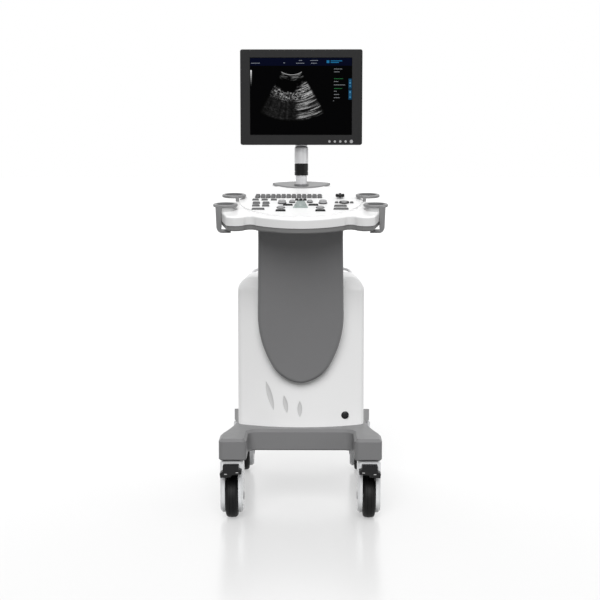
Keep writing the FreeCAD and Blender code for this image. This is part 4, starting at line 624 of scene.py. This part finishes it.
def post_rings(side):
    """Cross-sections down the post of a front ring, round its bend and along its foot."""
    path = [(POST_X, POST_TOP), (POST_X, BEND_TOP)]
    for step in range(1, BEND_STEPS + 1):
        angle = math.radians(90 * step / BEND_STEPS)
        path.append((BEND_X + (POST_X - BEND_X) * math.cos(angle),
                     BEND_TOP - BEND_DROP * math.sin(angle)))
    path.append((FOOT_X, BEND_TOP - BEND_DROP))
    rings = []
    for number, (x, z) in enumerate(path):
        after = path[min(number + 1, len(path) - 1)]
        before = path[max(number - 1, 0)]
        run = Vector((after[0] - before[0], after[1] - before[1])).normalized()
        taper = min(1.0, max(0.0, (TAPER_TOP - z) / TAPER_LENGTH))
        half = POST_HALF + (FOOT_HALF - POST_HALF) * taper
        outline = rounded_rectangle(0, 0, 2 * half, POST_THICKNESS, POST_CORNER, 4)
        rings.append([(side * (x - run.y * a), POST_Y + b, z + run.x * a) for a, b in outline])
    return rings


def holder(place, side):
    """One probe ring with eased edges and a soft liner. A front ring has a post that hooks
    under the deck, and a rear ring a low bracket that stands on it."""
    node = f"probe_holder_{place}"
    mount = [m for m in frame["record"]["mounts"] if m["name"] == f"probe_cup_{place}"][0]
    spot = joint_matrix(mount["axis"], mount["pos_m"])
    ring = bmesh.new()
    lathe(ring, RING_PROFILE, spot, count=96)
    liner = bmesh.new()
    lathe(liner, LINER_PROFILE, spot, count=96)
    support = bmesh.new()
    if place.startswith("rear"):
        support_name = "holder_bracket"
        near, far = sorted((side * BRACKET_LOW[0], side * BRACKET_HIGH[0]))
        bar(support, (near, *BRACKET_LOW[1:]), (far, *BRACKET_HIGH[1:]), spot, 1.6)
    else:
        support_name = "holder_post"
        loft(support, post_rings(side), spot)
    paint = SURFACES["holder_grey_plastic"]
    finish_piece(f"holder_ring_{place}", ring, paint, "base", [node])
    finish_piece(f"holder_liner_{place}", liner, LINER, "base")
    finish_piece(f"{support_name}_{place}", support, paint, "base",
                 [node])


for place in CORNERS:
    holder(place, -1 if place.endswith("left") else 1)


# ---- casters ----

TYRE_RADIUS = 62.5
TYRE_HALF = 17.0
HUB_RADIUS = 47.5
TYRE_SIDE = [
    (HUB_RADIUS, TYRE_HALF - 2.0), (49.5, TYRE_HALF), (53.5, TYRE_HALF),
    (54.2, TYRE_HALF - 0.5), (55.0, TYRE_HALF), (58.0, 15.8), (60.2, 13.2), (61.7, 9.0),
    (61.9, 5.6), (60.9, 5.2), (60.9, 4.4), (62.3, 4.0),
]
TYRE_PROFILE = [(radius, -out) for radius, out in TYRE_SIDE] + [(TYRE_RADIUS, 0.0)]
TYRE_PROFILE += TYRE_SIDE[::-1] + TYRE_PROFILE[:1]
AXLE_CAP_OUT = 30.0
AXLE_CAP_PROFILE = [
    (11.0, 1.7), (11.0, 3.0), (10.2, 3.8), (7.5, 4.0), (6.6, 3.4), (3.4, 3.3), (2.8, 3.8),
    (0.6, 3.9),
]
SWIVEL_RACE_PROFILE = [
    (10.0, 175.1), (21.0, 175.1), (21.6, 175.5), (21.6, 176.6), (20.8, 177.2), (10.0, 177.2),
    (10.0, 175.1),
]

for place in CORNERS:
    joint = JOINTS[f"wheel_{place}_spin"]
    axle = Matrix.Translation(Vector(joint["pos_m"])) @ Matrix.Rotation(QUARTER_TURN, 4, "Y")
    tyre = bmesh.new()
    lathe(tyre, TYRE_PROFILE, axle, count=96)
    finish_piece(f"tyre_{place}", tyre, SURFACES["tyre_rubber"], f"wheel_{place}",
                 [f"caster_{place}_tyre"], sharp=50)
    for side in (-1, 1):
        cap_spot = axle @ Matrix.Translation(Vector((0, 0, side * AXLE_CAP_OUT)) * MM)
        if side < 0:
            cap_spot = cap_spot @ Matrix.Rotation(math.pi, 4, "X")
        cap = bmesh.new()
        lathe(cap, AXLE_CAP_PROFILE, cap_spot)
        side_name = "inner" if (side > 0) == place.endswith("left") else "outer"
        finish_piece(f"axle_cap_{place}_{side_name}", cap, SURFACES["hub_grey"],
                     f"caster_{place}")
    swivel = JOINTS[f"caster_{place}_swivel"]
    stem = Matrix.Translation(Vector((*swivel["pos_m"][:2], 0)))
    race = bmesh.new()
    lathe(race, SWIVEL_RACE_PROFILE, stem, count=64)
    finish_piece(f"swivel_race_{place}", race, SURFACES["frame_steel"], f"caster_{place}")

# A right pedal's front, as points across and above its pin; a left one is its mirror image.
PEDAL_OUTLINE = [
    (22, 10), (-22, 10), (-22, -1), (-30, -4), (-30, -14), (-3, -16), (0, -22),
    (29, -24), (31, -12), (22, -6),
]
PEDAL_BACK = 24.0
PEDAL_FRONT = 54.0
PEDAL_EDGE = 1.8
RIB_COUNT = 5
RIB_PITCH = 7.0
RIB_HALF = 1.2
PEDAL_PRINTS = [(14.0, -13.0), (-18.0, -8.5)]
PRINT_HALF_WIDTH = 3.5
PRINT_HALF_HEIGHT = 0.8

for place, side in (("front_left", -1), ("front_right", 1)):
    pin = JOINTS[f"pedal_{place}_rock"]
    swivel = JOINTS[f"caster_{place}_swivel"]
    centre = Vector((pin["pos_m"][0], swivel["pos_m"][1], pin["pos_m"][2])) / MM
    pedal = bmesh.new()
    outline = [(side * across, up) for across, up in PEDAL_OUTLINE]
    for forward in (PEDAL_BACK, PEDAL_FRONT):
        for across, up in outline:
            point = Vector((centre.x + across, centre.y - forward, centre.z + up))
            pedal.verts.new(point * MM)
    pedal.verts.ensure_lookup_table()
    count = len(outline)
    pedal.faces.new([pedal.verts[n] for n in range(count)])
    pedal.faces.new([pedal.verts[count + n] for n in reversed(range(count))])
    for n in range(count):
        after = (n + 1) % count
        pedal.faces.new([pedal.verts[n], pedal.verts[after],
                         pedal.verts[count + after], pedal.verts[count + n]])
    bmesh.ops.recalc_face_normals(pedal, faces=pedal.faces)
    bmesh.ops.bevel(pedal, geom=list(pedal.edges), offset=PEDAL_EDGE * MM, segments=3,
                    profile=0.6, affect="EDGES", clamp_overlap=True)
    finish_piece(f"pedal_{place}", pedal, SURFACES["pedal_black"], f"pedal_{place}",
                 [f"caster_{place}_pedal"])
    ribs = bmesh.new()
    for number in range(RIB_COUNT):
        x = centre.x + (number - RIB_COUNT // 2) * RIB_PITCH
        bar(ribs, (x - RIB_HALF, centre.y - PEDAL_FRONT + 2, centre.z + 9.9),
            (x + RIB_HALF, centre.y - PEDAL_BACK - 4, centre.z + 11.0), WORLD, 0.4)
    finish_piece(f"pedal_grip_{place}", ribs, SURFACES["pedal_black"], f"pedal_{place}")
    prints = bmesh.new()
    for across, up in PEDAL_PRINTS:
        x = centre.x + side * across
        z = centre.z + up
        bar(prints,
            (x - PRINT_HALF_WIDTH, centre.y - PEDAL_FRONT - 0.15, z - PRINT_HALF_HEIGHT),
            (x + PRINT_HALF_WIDTH, centre.y - PEDAL_FRONT + 0.1, z + PRINT_HALF_HEIGHT))
    finish_piece(f"pedal_print_{place}", prints, PRINT_WHITE, f"pedal_{place}")


# ---- monitor ----

bezel_low = box_corners("monitor_bezel")[0]
lcd_low, lcd_high = box_corners("lcd_panel")
SIDE_MARGIN = 6
BOTTOM_MARGIN = 5
TOP_MARGIN = 6
SCREEN_LEFT = lcd_low.x + SIDE_MARGIN
SCREEN_RIGHT = lcd_high.x - SIDE_MARGIN
SCREEN_BOTTOM = lcd_low.z + BOTTOM_MARGIN
SCREEN_TOP = lcd_high.z - TOP_MARGIN
GLASS = lcd_low.y
SILL_STEPS = [(0.0, 0.2), (0.5, 0.7), (1.3, 3.3)]
screen_width = SCREEN_RIGHT - SCREEN_LEFT
screen_height = SCREEN_TOP - SCREEN_BOTTOM

sill = bmesh.new()
frame_rings = []
for inset, depth in SILL_STEPS:
    outline = rounded_rectangle(
        (SCREEN_LEFT + SCREEN_RIGHT) / 2, (SCREEN_BOTTOM + SCREEN_TOP) / 2,
        screen_width - 2 * inset, screen_height - 2 * inset, 1.2, 3,
    )
    frame_rings.append([(x, bezel_low.y + depth, z) for x, z in outline])
loft(sill, frame_rings, WORLD, close_start=False, close_end=False)
finish_piece("screen_sill", sill, SURFACES["monitor_black_plastic"], "monitor")


def screen_bars(name, colour, bars, lift=0.10):
    """Flat lit bars on the screen, given as (left, down, width, height) from its top left."""
    made = bmesh.new()
    for left, down, width, height in bars:
        x0 = SCREEN_LEFT + left
        z1 = SCREEN_TOP - down
        bar(made, (x0, GLASS - lift - 0.05, z1 - height), (x0 + width, GLASS - lift, z1))
    finish_piece(name, made, glowing(name, colour), "monitor")


DASH_LENGTHS = (2.6, 1.8, 3.2, 2.2)
DASH_GAP = 0.8


def text_dashes(left, down, width, height=1.5):
    """A line of small dashes in place of writing."""
    dashes = []
    reach = 0.0
    while reach < width:
        length = min(DASH_LENGTHS[len(dashes) % len(DASH_LENGTHS)], width - reach)
        dashes.append((left + reach, down, length, height))
        reach += length + DASH_GAP
    return dashes


STATUS_INSET = 1.6
STATUS_HEIGHT = 22.5
screen_bars("screen_status_bar", (0.0012, 0.0022, 0.0125),
            [(STATUS_INSET, STATUS_INSET, screen_width - 2 * STATUS_INSET, STATUS_HEIGHT)])
STATUS_LINES = [(5, 16.0, 26), (100, 15.0, 5), (138, 16.2, 24), (146, 8.2, 10), (180, 8.2, 23),
                (182, 16.2, 17)]
screen_bars("screen_status_marks", (0.30, 0.33, 0.38),
            [dash for line in STATUS_LINES for dash in text_dashes(*line)], lift=0.2)
screen_bars("screen_title_marks", (0.015, 0.16, 0.34), [
    (228, 8.5, 8.0, 8.0), (240, 9.0, 34, 2.4), (240, 13.6, 24, 2.4),
], lift=0.2)
GREY_STEPS = 8
GREY_STEP_HEIGHT = 5.8
for step in range(GREY_STEPS):
    shade = 0.75 * (1 - step / GREY_STEPS) ** 2
    screen_bars(f"screen_grey_step_{step + 1}", (shade, shade, shade),
                [(2.2, 37 + step * GREY_STEP_HEIGHT, 4.0, GREY_STEP_HEIGHT)])
WHITE_LINES = [(250, 33, 24), (250, 41.5, 17), (250, 69.5, 13), (250, 79.5, 33),
               (250, 98, 8), (250, 107.5, 15), (250, 117, 17), (248, 126, 2)]
GREEN_LINES = [(250, 61.5, 27), (250, 90, 24)]
screen_bars("screen_text_white", (0.30, 0.31, 0.33),
            [dash for line in WHITE_LINES for dash in text_dashes(*line)])
screen_bars("screen_text_green", (0.03, 0.20, 0.06),
            [dash for line in GREEN_LINES for dash in text_dashes(*line)])
screen_bars("screen_tabs", (0.008, 0.055, 0.12), [(293, 62, 9.6, 29), (293, 94, 9.6, 29)])
screen_bars("screen_tab_marks", (0.06, 0.24, 0.42), [
    (295.5, 66, 4.6, 1.6), (295.5, 71, 4.6, 6.0), (295.5, 82, 4.6, 3.0),
    (295.5, 98, 4.6, 7.0), (295.5, 109, 4.6, 1.6), (295.5, 114, 4.6, 4.0),
], lift=0.2)


def scan_picture():
    """The grey ultrasound picture in the fan's own coordinates, X across and Y away from the
    probe: a dark bowl, a speckled band under it, and bright streaks at the lower right."""
    material, shader, add, link = new_material("scan_picture")
    place = add("ShaderNodeUVMap", uv_map="fan").outputs["UV"]
    split = add("ShaderNodeSeparateXYZ", {"Vector": place})
    across = split.outputs["X"]
    along = split.outputs["Y"]

    def calculate(operation, first, second=0.0):
        made = add("ShaderNodeMath", operation=operation)
        for number, source in enumerate((first, second)):
            if isinstance(source, bpy.types.NodeSocket):
                material.node_tree.links.new(source, made.inputs[number])
            else:
                made.inputs[number].default_value = source
        return made.outputs[0]

    def noise(scale, size, detail=3.0, turn=0.0, distortion=0.0):
        stretched = add("ShaderNodeMapping", {"Vector": place, "Scale": scale,
                                              "Rotation": (0.0, 0.0, turn)})
        made = add("ShaderNodeTexNoise", {"Vector": stretched.outputs["Vector"], "Scale": size,
                                          "Detail": detail, "Distortion": distortion})
        return made.outputs["Fac"]

    def ramp(source, start, end, low=0.0, high=1.0):
        made = add("ShaderNodeMapRange", {"Value": source, "From Min": start, "From Max": end,
                                          "To Min": low, "To Max": high})
        made.interpolation_type = "SMOOTHSTEP"
        return made.outputs["Result"]

    wobble = calculate("MULTIPLY", calculate("SUBTRACT", noise((1, 1, 1), 7.0), 0.5), 1.6)

    def distance(x, y, width, height):
        """How far out a point lies in an uneven oval: 1 on its edge."""
        dx = calculate("DIVIDE", calculate("SUBTRACT", across, x), width)
        dy = calculate("DIVIDE", calculate("SUBTRACT", along, y), height)
        squares = calculate("ADD", calculate("MULTIPLY", dx, dx), calculate("MULTIPLY", dy, dy))
        return calculate("ADD", calculate("SQRT", squares), wobble)

    def times(*factors):
        product = factors[0]
        for factor in factors[1:]:
            product = calculate("MULTIPLY", product, factor)
        return product

    speckle = ramp(noise((40.0, 90.0, 1.0), 1.6, detail=2.0), 0.46, 0.70)
    coarse = ramp(noise((14.0, 26.0, 1.0), 1.3, detail=4.0, distortion=1.2), 0.44, 0.66)
    streaks = ramp(noise((3.0, 46.0, 1.0), 1.0, detail=3.0, turn=0.16, distortion=0.3),
                   0.47, 0.64)
    rays = ramp(noise((16.0, 0.7, 1.0), 1.2, detail=2.0), 0.35, 0.65, 0.35, 1.0)
    bowl = distance(0.40, 0.24, 0.36, 0.13)
    band = times(ramp(bowl, 0.95, 1.25), ramp(bowl, 2.9, 1.7), ramp(along, 0.24, 0.34))
    right = ramp(distance(0.80, 0.72, 0.22, 0.27), 1.25, 0.80)
    near = times(ramp(along, 0.16, 0.08), ramp(bowl, 0.9, 1.2))
    corner = ramp(distance(0.86, 0.36, 0.20, 0.14), 1.3, 0.7)
    edge = times(ramp(across, 0.0, 0.10), ramp(across, 1.0, 0.93), ramp(along, 1.0, 0.93))
    level = times(band, coarse, calculate("ADD", times(speckle, 0.75), 0.14))
    grainy_streaks = times(right, streaks, calculate("ADD", speckle, 0.25), 0.62)
    level = calculate("ADD", level, grainy_streaks)
    level = calculate("ADD", level, times(near, streaks, 0.16))
    level = calculate("ADD", level, times(corner, streaks, 0.30))
    veil = times(ramp(along, 0.30, 0.62), rays, calculate("ADD", times(coarse, 0.020), 0.007))
    level = calculate("ADD", level, veil)
    level = times(level, edge)
    level = calculate("ADD", level, times(ramp(along, 0.020, 0.004), 0.35))
    colour = add("ShaderNodeCombineColor", {"Red": level, "Green": level, "Blue": level})
    link(colour.outputs["Color"], "Emission Color")
    make_lit(shader)
    return material


FAN_X = SCREEN_LEFT + 124.4
FAN_APEX = SCREEN_TOP + 7.1
FAN_NEAR = 57.0
FAN_FAR = 196.0
FAN_HALF_ANGLE = 31.2
FAN_STEPS = 36
FAN_LIFT = 0.12
fan = bmesh.new()
fan_uv = fan.loops.layers.uv.new("fan")
columns = []
for column in range(FAN_STEPS + 1):
    angle = math.radians(FAN_HALF_ANGLE * (2 * column / FAN_STEPS - 1))
    row = []
    for step in range(FAN_STEPS + 1):
        reach = FAN_NEAR + (FAN_FAR - FAN_NEAR) * step / FAN_STEPS
        point = Vector((FAN_X + reach * math.sin(angle), GLASS - FAN_LIFT,
                        FAN_APEX - reach * math.cos(angle)))
        row.append(fan.verts.new(point * MM))
    columns.append(row)
for column in range(FAN_STEPS):
    for step in range(FAN_STEPS):
        corners = [(column, step), (column, step + 1),
                   (column + 1, step + 1), (column + 1, step)]
        face = fan.faces.new([columns[a][b] for a, b in corners])
        for loop, (a, b) in zip(face.loops, corners):
            loop[fan_uv].uv = (a / FAN_STEPS, b / FAN_STEPS)
data = bpy.data.meshes.new("scan_field")
fan.to_mesh(data)
fan.free()
data.materials.append(scan_picture())
scan_field = bpy.data.objects.new("scan_field", data)
bpy.context.scene.collection.objects.link(scan_field)
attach(scan_field, "monitor")

cover_low, cover_high = box_corners("monitor_rear_cover")
VENT_ROWS = 9
VENT_PITCH = 9
VENT_START = 120
VENT_HEIGHT = 4.0
VENT_X = 70
VENT_HALF = 40
# Thin dark bars on the rear cover: painted shade in place of the shadowed vent slots.
vents = bmesh.new()
for side in (-1, 1):
    for number in range(VENT_ROWS):
        x = side * VENT_X
        z = cover_low.z + VENT_START + VENT_PITCH * number
        bar(vents, (x - VENT_HALF, cover_high.y - 0.2, z),
            (x + VENT_HALF, cover_high.y, z + VENT_HEIGHT))
finish_piece("monitor_vent_shadows", vents, VENT_PAINTED_SHADE, "monitor")


REARWARD = (0, 1, 0)


def screw_heads(name, points, radius, body):
    """Small domed screw heads at points, facing the rear."""
    heads = bmesh.new()
    for point in points:
        lathe(heads, [(radius, 0.0), (radius, 0.5), (radius * 0.8, 0.9), (radius * 0.45, 1.1),
                      (0.2, 0.8)], joint_matrix(REARWARD, Vector(point) * MM), count=24)
    finish_piece(name, heads, SURFACES["frame_steel"], body)


COVER_SCREW_X = 168
COVER_SCREW_Y = 19.8
COVER_SCREW_INSET = 14
screw_heads("monitor_screws",
            [(x, cover_low.y + COVER_SCREW_Y, z) for x in (-COVER_SCREW_X, COVER_SCREW_X)
             for z in (cover_low.z + COVER_SCREW_INSET, cover_high.z - COVER_SCREW_INSET)],
            3.0, "monitor")


# ---- leaf-shaped hollows in the cabinet front ----

# Each leaf's x, z, length, width and lean to the left in degrees.
LEAVES = [(-91, 332, 90, 16, 15.5), (-45, 308, 54, 14, 10), (-3, 294, 50, 14, 0)]
LEAF_STEPS = 24
LEAF_INSET = 0.35
FRONT_BOW = 46.0
FRONT_HALF = 186.0
BOW_RADIUS = (FRONT_HALF ** 2 + FRONT_BOW ** 2) / (2 * FRONT_BOW)
LEAF_FLOOR = 1.9
LEAF_RIM = 0.15
LEAF_DISH = 1.6
LEAF_DISH_STEPS = 8
front_low = box_corners("cabinet_front_shell")[0]


def turned(points, degrees):
    """An outline turned about the origin, anticlockwise."""
    cosine = math.cos(math.radians(degrees))
    sine = math.sin(math.radians(degrees))
    return [(x * cosine - y * sine, x * sine + y * cosine) for x, y in points]


def leaf_ring(place, share, depth):
    """A leaf outline shrunk to a share of its size, at a depth below the bowed front."""
    x, z, length, width, lean = place
    outline = []
    for side, start in ((1, -1.0), (-1, 1.0)):
        for step in range(LEAF_STEPS):
            along = start * (1 - 2 * step / LEAF_STEPS)
            across = side * (width / 2 - LEAF_INSET) * (1 - along ** 2)
            outline.append((across * share, along * (length / 2 - 3 * LEAF_INSET) * share))
    ring = []
    for across, up in turned(outline, lean):
        angle = math.asin(x / BOW_RADIUS) + across / BOW_RADIUS
        radius = BOW_RADIUS - depth
        ring.append(Vector((radius * math.sin(angle),
                            front_low.y + BOW_RADIUS - radius * math.cos(angle), z + up)))
    return ring


# Shallow dishes in the leaf hollows, coloured grey as painted shade inside the recesses.
leaves = bmesh.new()
for place in LEAVES:
    rings = [leaf_ring(place, 1.0, LEAF_FLOOR), leaf_ring(place, 1.0, LEAF_RIM)]
    for step in range(1, LEAF_DISH_STEPS):
        share = 1.0 - step / LEAF_DISH_STEPS
        rings.append(leaf_ring(place, share, LEAF_RIM + LEAF_DISH * (1 - share ** 2)))
    loft(leaves, rings)
finish_piece("leaf_hollows", leaves, LEAF_PAINTED_SHADE, "base", sharp=50)


# ---- rear panel and handle ----

panel_high = box_corners("rear_panel")[1]
screw_heads("rear_panel_screws",
            [(x, panel_high.y, z) for x in (-96, 96) for z in (280, 415, 550)], 3.2, "base")

SOCKET_X = (-62, 8)
CONTACT_ROWS = 3
CONTACT_COLUMNS = 12
CONTACT_PITCH = (3.5, 5.5)
FIRST_CONTACT = (-19.2, 384.5)
CONTACT_RUN = (265.2, 270.0)
CONTACT_HALF = 0.6
contacts = bmesh.new()
for socket_x in SOCKET_X:
    for row in range(CONTACT_ROWS):
        for column in range(CONTACT_COLUMNS):
            x = socket_x + FIRST_CONTACT[0] + CONTACT_PITCH[0] * column
            z = FIRST_CONTACT[1] + CONTACT_PITCH[1] * row
            bar(contacts, (x - CONTACT_HALF, CONTACT_RUN[0], z - CONTACT_HALF),
                (x + CONTACT_HALF, CONTACT_RUN[1], z + CONTACT_HALF))
finish_piece("probe_socket_contacts", contacts, GOLD_CONTACT, "base")

HANDLE_RADIUS = 4.5
ROSETTE_PROFILE = [
    (10.0, 0.0), (10.2, 0.9), (8.6, 2.6), (6.6, 4.4), (5.0, 4.8), (3.0, 4.4), (1.0, 4.3),
]
handle_low, handle_high = box_corners("rear_handle")
cabinet_high = box_corners("cabinet_rear_shell")[1]
rosettes = bmesh.new()
for side in (-1, 1):
    point = Vector((side * (handle_high.x - HANDLE_RADIUS), cabinet_high.y + 0.1,
                    handle_low.z + HANDLE_RADIUS))
    lathe(rosettes, ROSETTE_PROFILE, joint_matrix(REARWARD, point * MM))
finish_piece("handle_rosettes", rosettes, SURFACES["mast_silver"], "base")


# ---- fillers that close a narrow slot in each side of the base cover ----

FILLER_PLAN = [(198.5, 169.5), (202.3, 169.5), (203.85, 179.6), (203.85, 181.0), (198.5, 181.0)]
FILLER_LEVELS = (178.1, 206.9)
fillers = bmesh.new()
for side in (-1, 1):
    loft(fillers, [ring_of([(side * x, y) for x, y in FILLER_PLAN], z) for z in FILLER_LEVELS])
finish_piece("base_side_fillers", fillers, SURFACES["base_grey_plastic"], "base")


# ---- floor, light and camera ----

FLOOR_REACH = 60.0
FLOOR_COLOUR = 0.38
FLOOR_GLOW = 0.40
FLOOR_DROP = 0.5 * MM
floor_mesh = bmesh.new()
for x, y in ((1, 1), (-1, 1), (-1, -1), (1, -1)):
    floor_mesh.verts.new((x * FLOOR_REACH, y * FLOOR_REACH, cad_low.z - FLOOR_DROP))
floor_mesh.verts.ensure_lookup_table()
floor_mesh.faces.new(floor_mesh.verts)
floor_data = bpy.data.meshes.new("studio_floor")
floor_mesh.to_mesh(floor_data)
floor_mesh.free()
studio_floor = bpy.data.objects.new("studio_floor", floor_data)
bpy.context.scene.collection.objects.link(studio_floor)
floor_material, floor_shader = new_material("pale_gloss_floor")[:2]
floor_shader.inputs["Base Color"].default_value = tinted((FLOOR_COLOUR,) * 3)
floor_shader.inputs["Roughness"].default_value = 0.20
floor_shader.inputs["Specular IOR Level"].default_value = 0.40
floor_shader.inputs["Emission Color"].default_value = (1.0, 1.0, 1.0, 1.0)
floor_shader.inputs["Emission Strength"].default_value = FLOOR_GLOW
floor_data.materials.append(floor_material)
studio_floor.visible_diffuse = False

FRONT_LEVEL = 0.28
BACK_LEVEL = 1.0
ZENITH_EXTRA = 0.45
GROUND_SHARE = 0.42


def studio_world():
    """A white studio: brightest behind the object and overhead, dimmer in front and below.
    The camera itself sees plain white."""
    world = bpy.data.worlds.new("studio")
    bpy.context.scene.world = world
    world.use_nodes = True
    tree = world.node_tree

    def ramp(source, start, end, low, high):
        made = tree.nodes.new("ShaderNodeMapRange")
        made.interpolation_type = "SMOOTHSTEP"
        for socket, amount in (("From Min", start), ("From Max", end), ("To Min", low),
                               ("To Max", high)):
            made.inputs[socket].default_value = amount
        tree.links.new(source, made.inputs["Value"])
        return made.outputs["Result"]

    def combine(operation, first, second):
        made = tree.nodes.new("ShaderNodeMath")
        made.operation = operation
        tree.links.new(first, made.inputs[0])
        tree.links.new(second, made.inputs[1])
        return made.outputs["Value"]

    direction = tree.nodes.new("ShaderNodeTexCoord")
    split = tree.nodes.new("ShaderNodeSeparateXYZ")
    tree.links.new(direction.outputs["Generated"], split.inputs["Vector"])
    level = ramp(split.outputs["Y"], -0.25, 0.45, FRONT_LEVEL, BACK_LEVEL)
    level = combine("ADD", level, ramp(split.outputs["Z"], 0.35, 1.0, 0.0, ZENITH_EXTRA))
    level = combine("MULTIPLY", level, ramp(split.outputs["Z"], -0.12, 0.04, GROUND_SHARE, 1.0))
    seen = tree.nodes.new("ShaderNodeLightPath")
    level = combine("MAXIMUM", level, seen.outputs["Is Camera Ray"])
    tree.links.new(level, tree.nodes["Background"].inputs["Color"])


studio_world()


def sunlight(name, direction, strength, softness):
    """A distant light, given by the direction that it shines in; softness is its angle."""
    light = bpy.data.lights.new(name, "SUN")
    light.energy = strength
    light.angle = math.radians(softness)
    lamp = bpy.data.objects.new(name, light)
    lamp.rotation_mode = "QUATERNION"
    lamp.rotation_quaternion = Vector(direction).to_track_quat("-Z", "Y")
    bpy.context.scene.collection.objects.link(lamp)


sunlight("key_light", (0.05, 0.78, -0.62), 2.42, 38)
sunlight("side_light", (-0.88, 0.40, -0.25), 0.42, 30)

LENS = 72.9
CAMERA_PLACE = (0.03, -3.642, 1.02)
CAMERA_PITCH = 6.6
CAMERA_YAW = 0.53
camera_data = bpy.data.cameras.new("photo_camera")
camera_data.sensor_width = 36.0
camera_data.lens = LENS
camera = bpy.data.objects.new("photo_camera", camera_data)
camera.location = CAMERA_PLACE
camera.rotation_euler = (math.radians(90 - CAMERA_PITCH), 0.0, math.radians(CAMERA_YAW))
bpy.context.scene.collection.objects.link(camera)
bpy.context.scene.camera = camera
bpy.context.scene.view_settings.view_transform = "Standard"
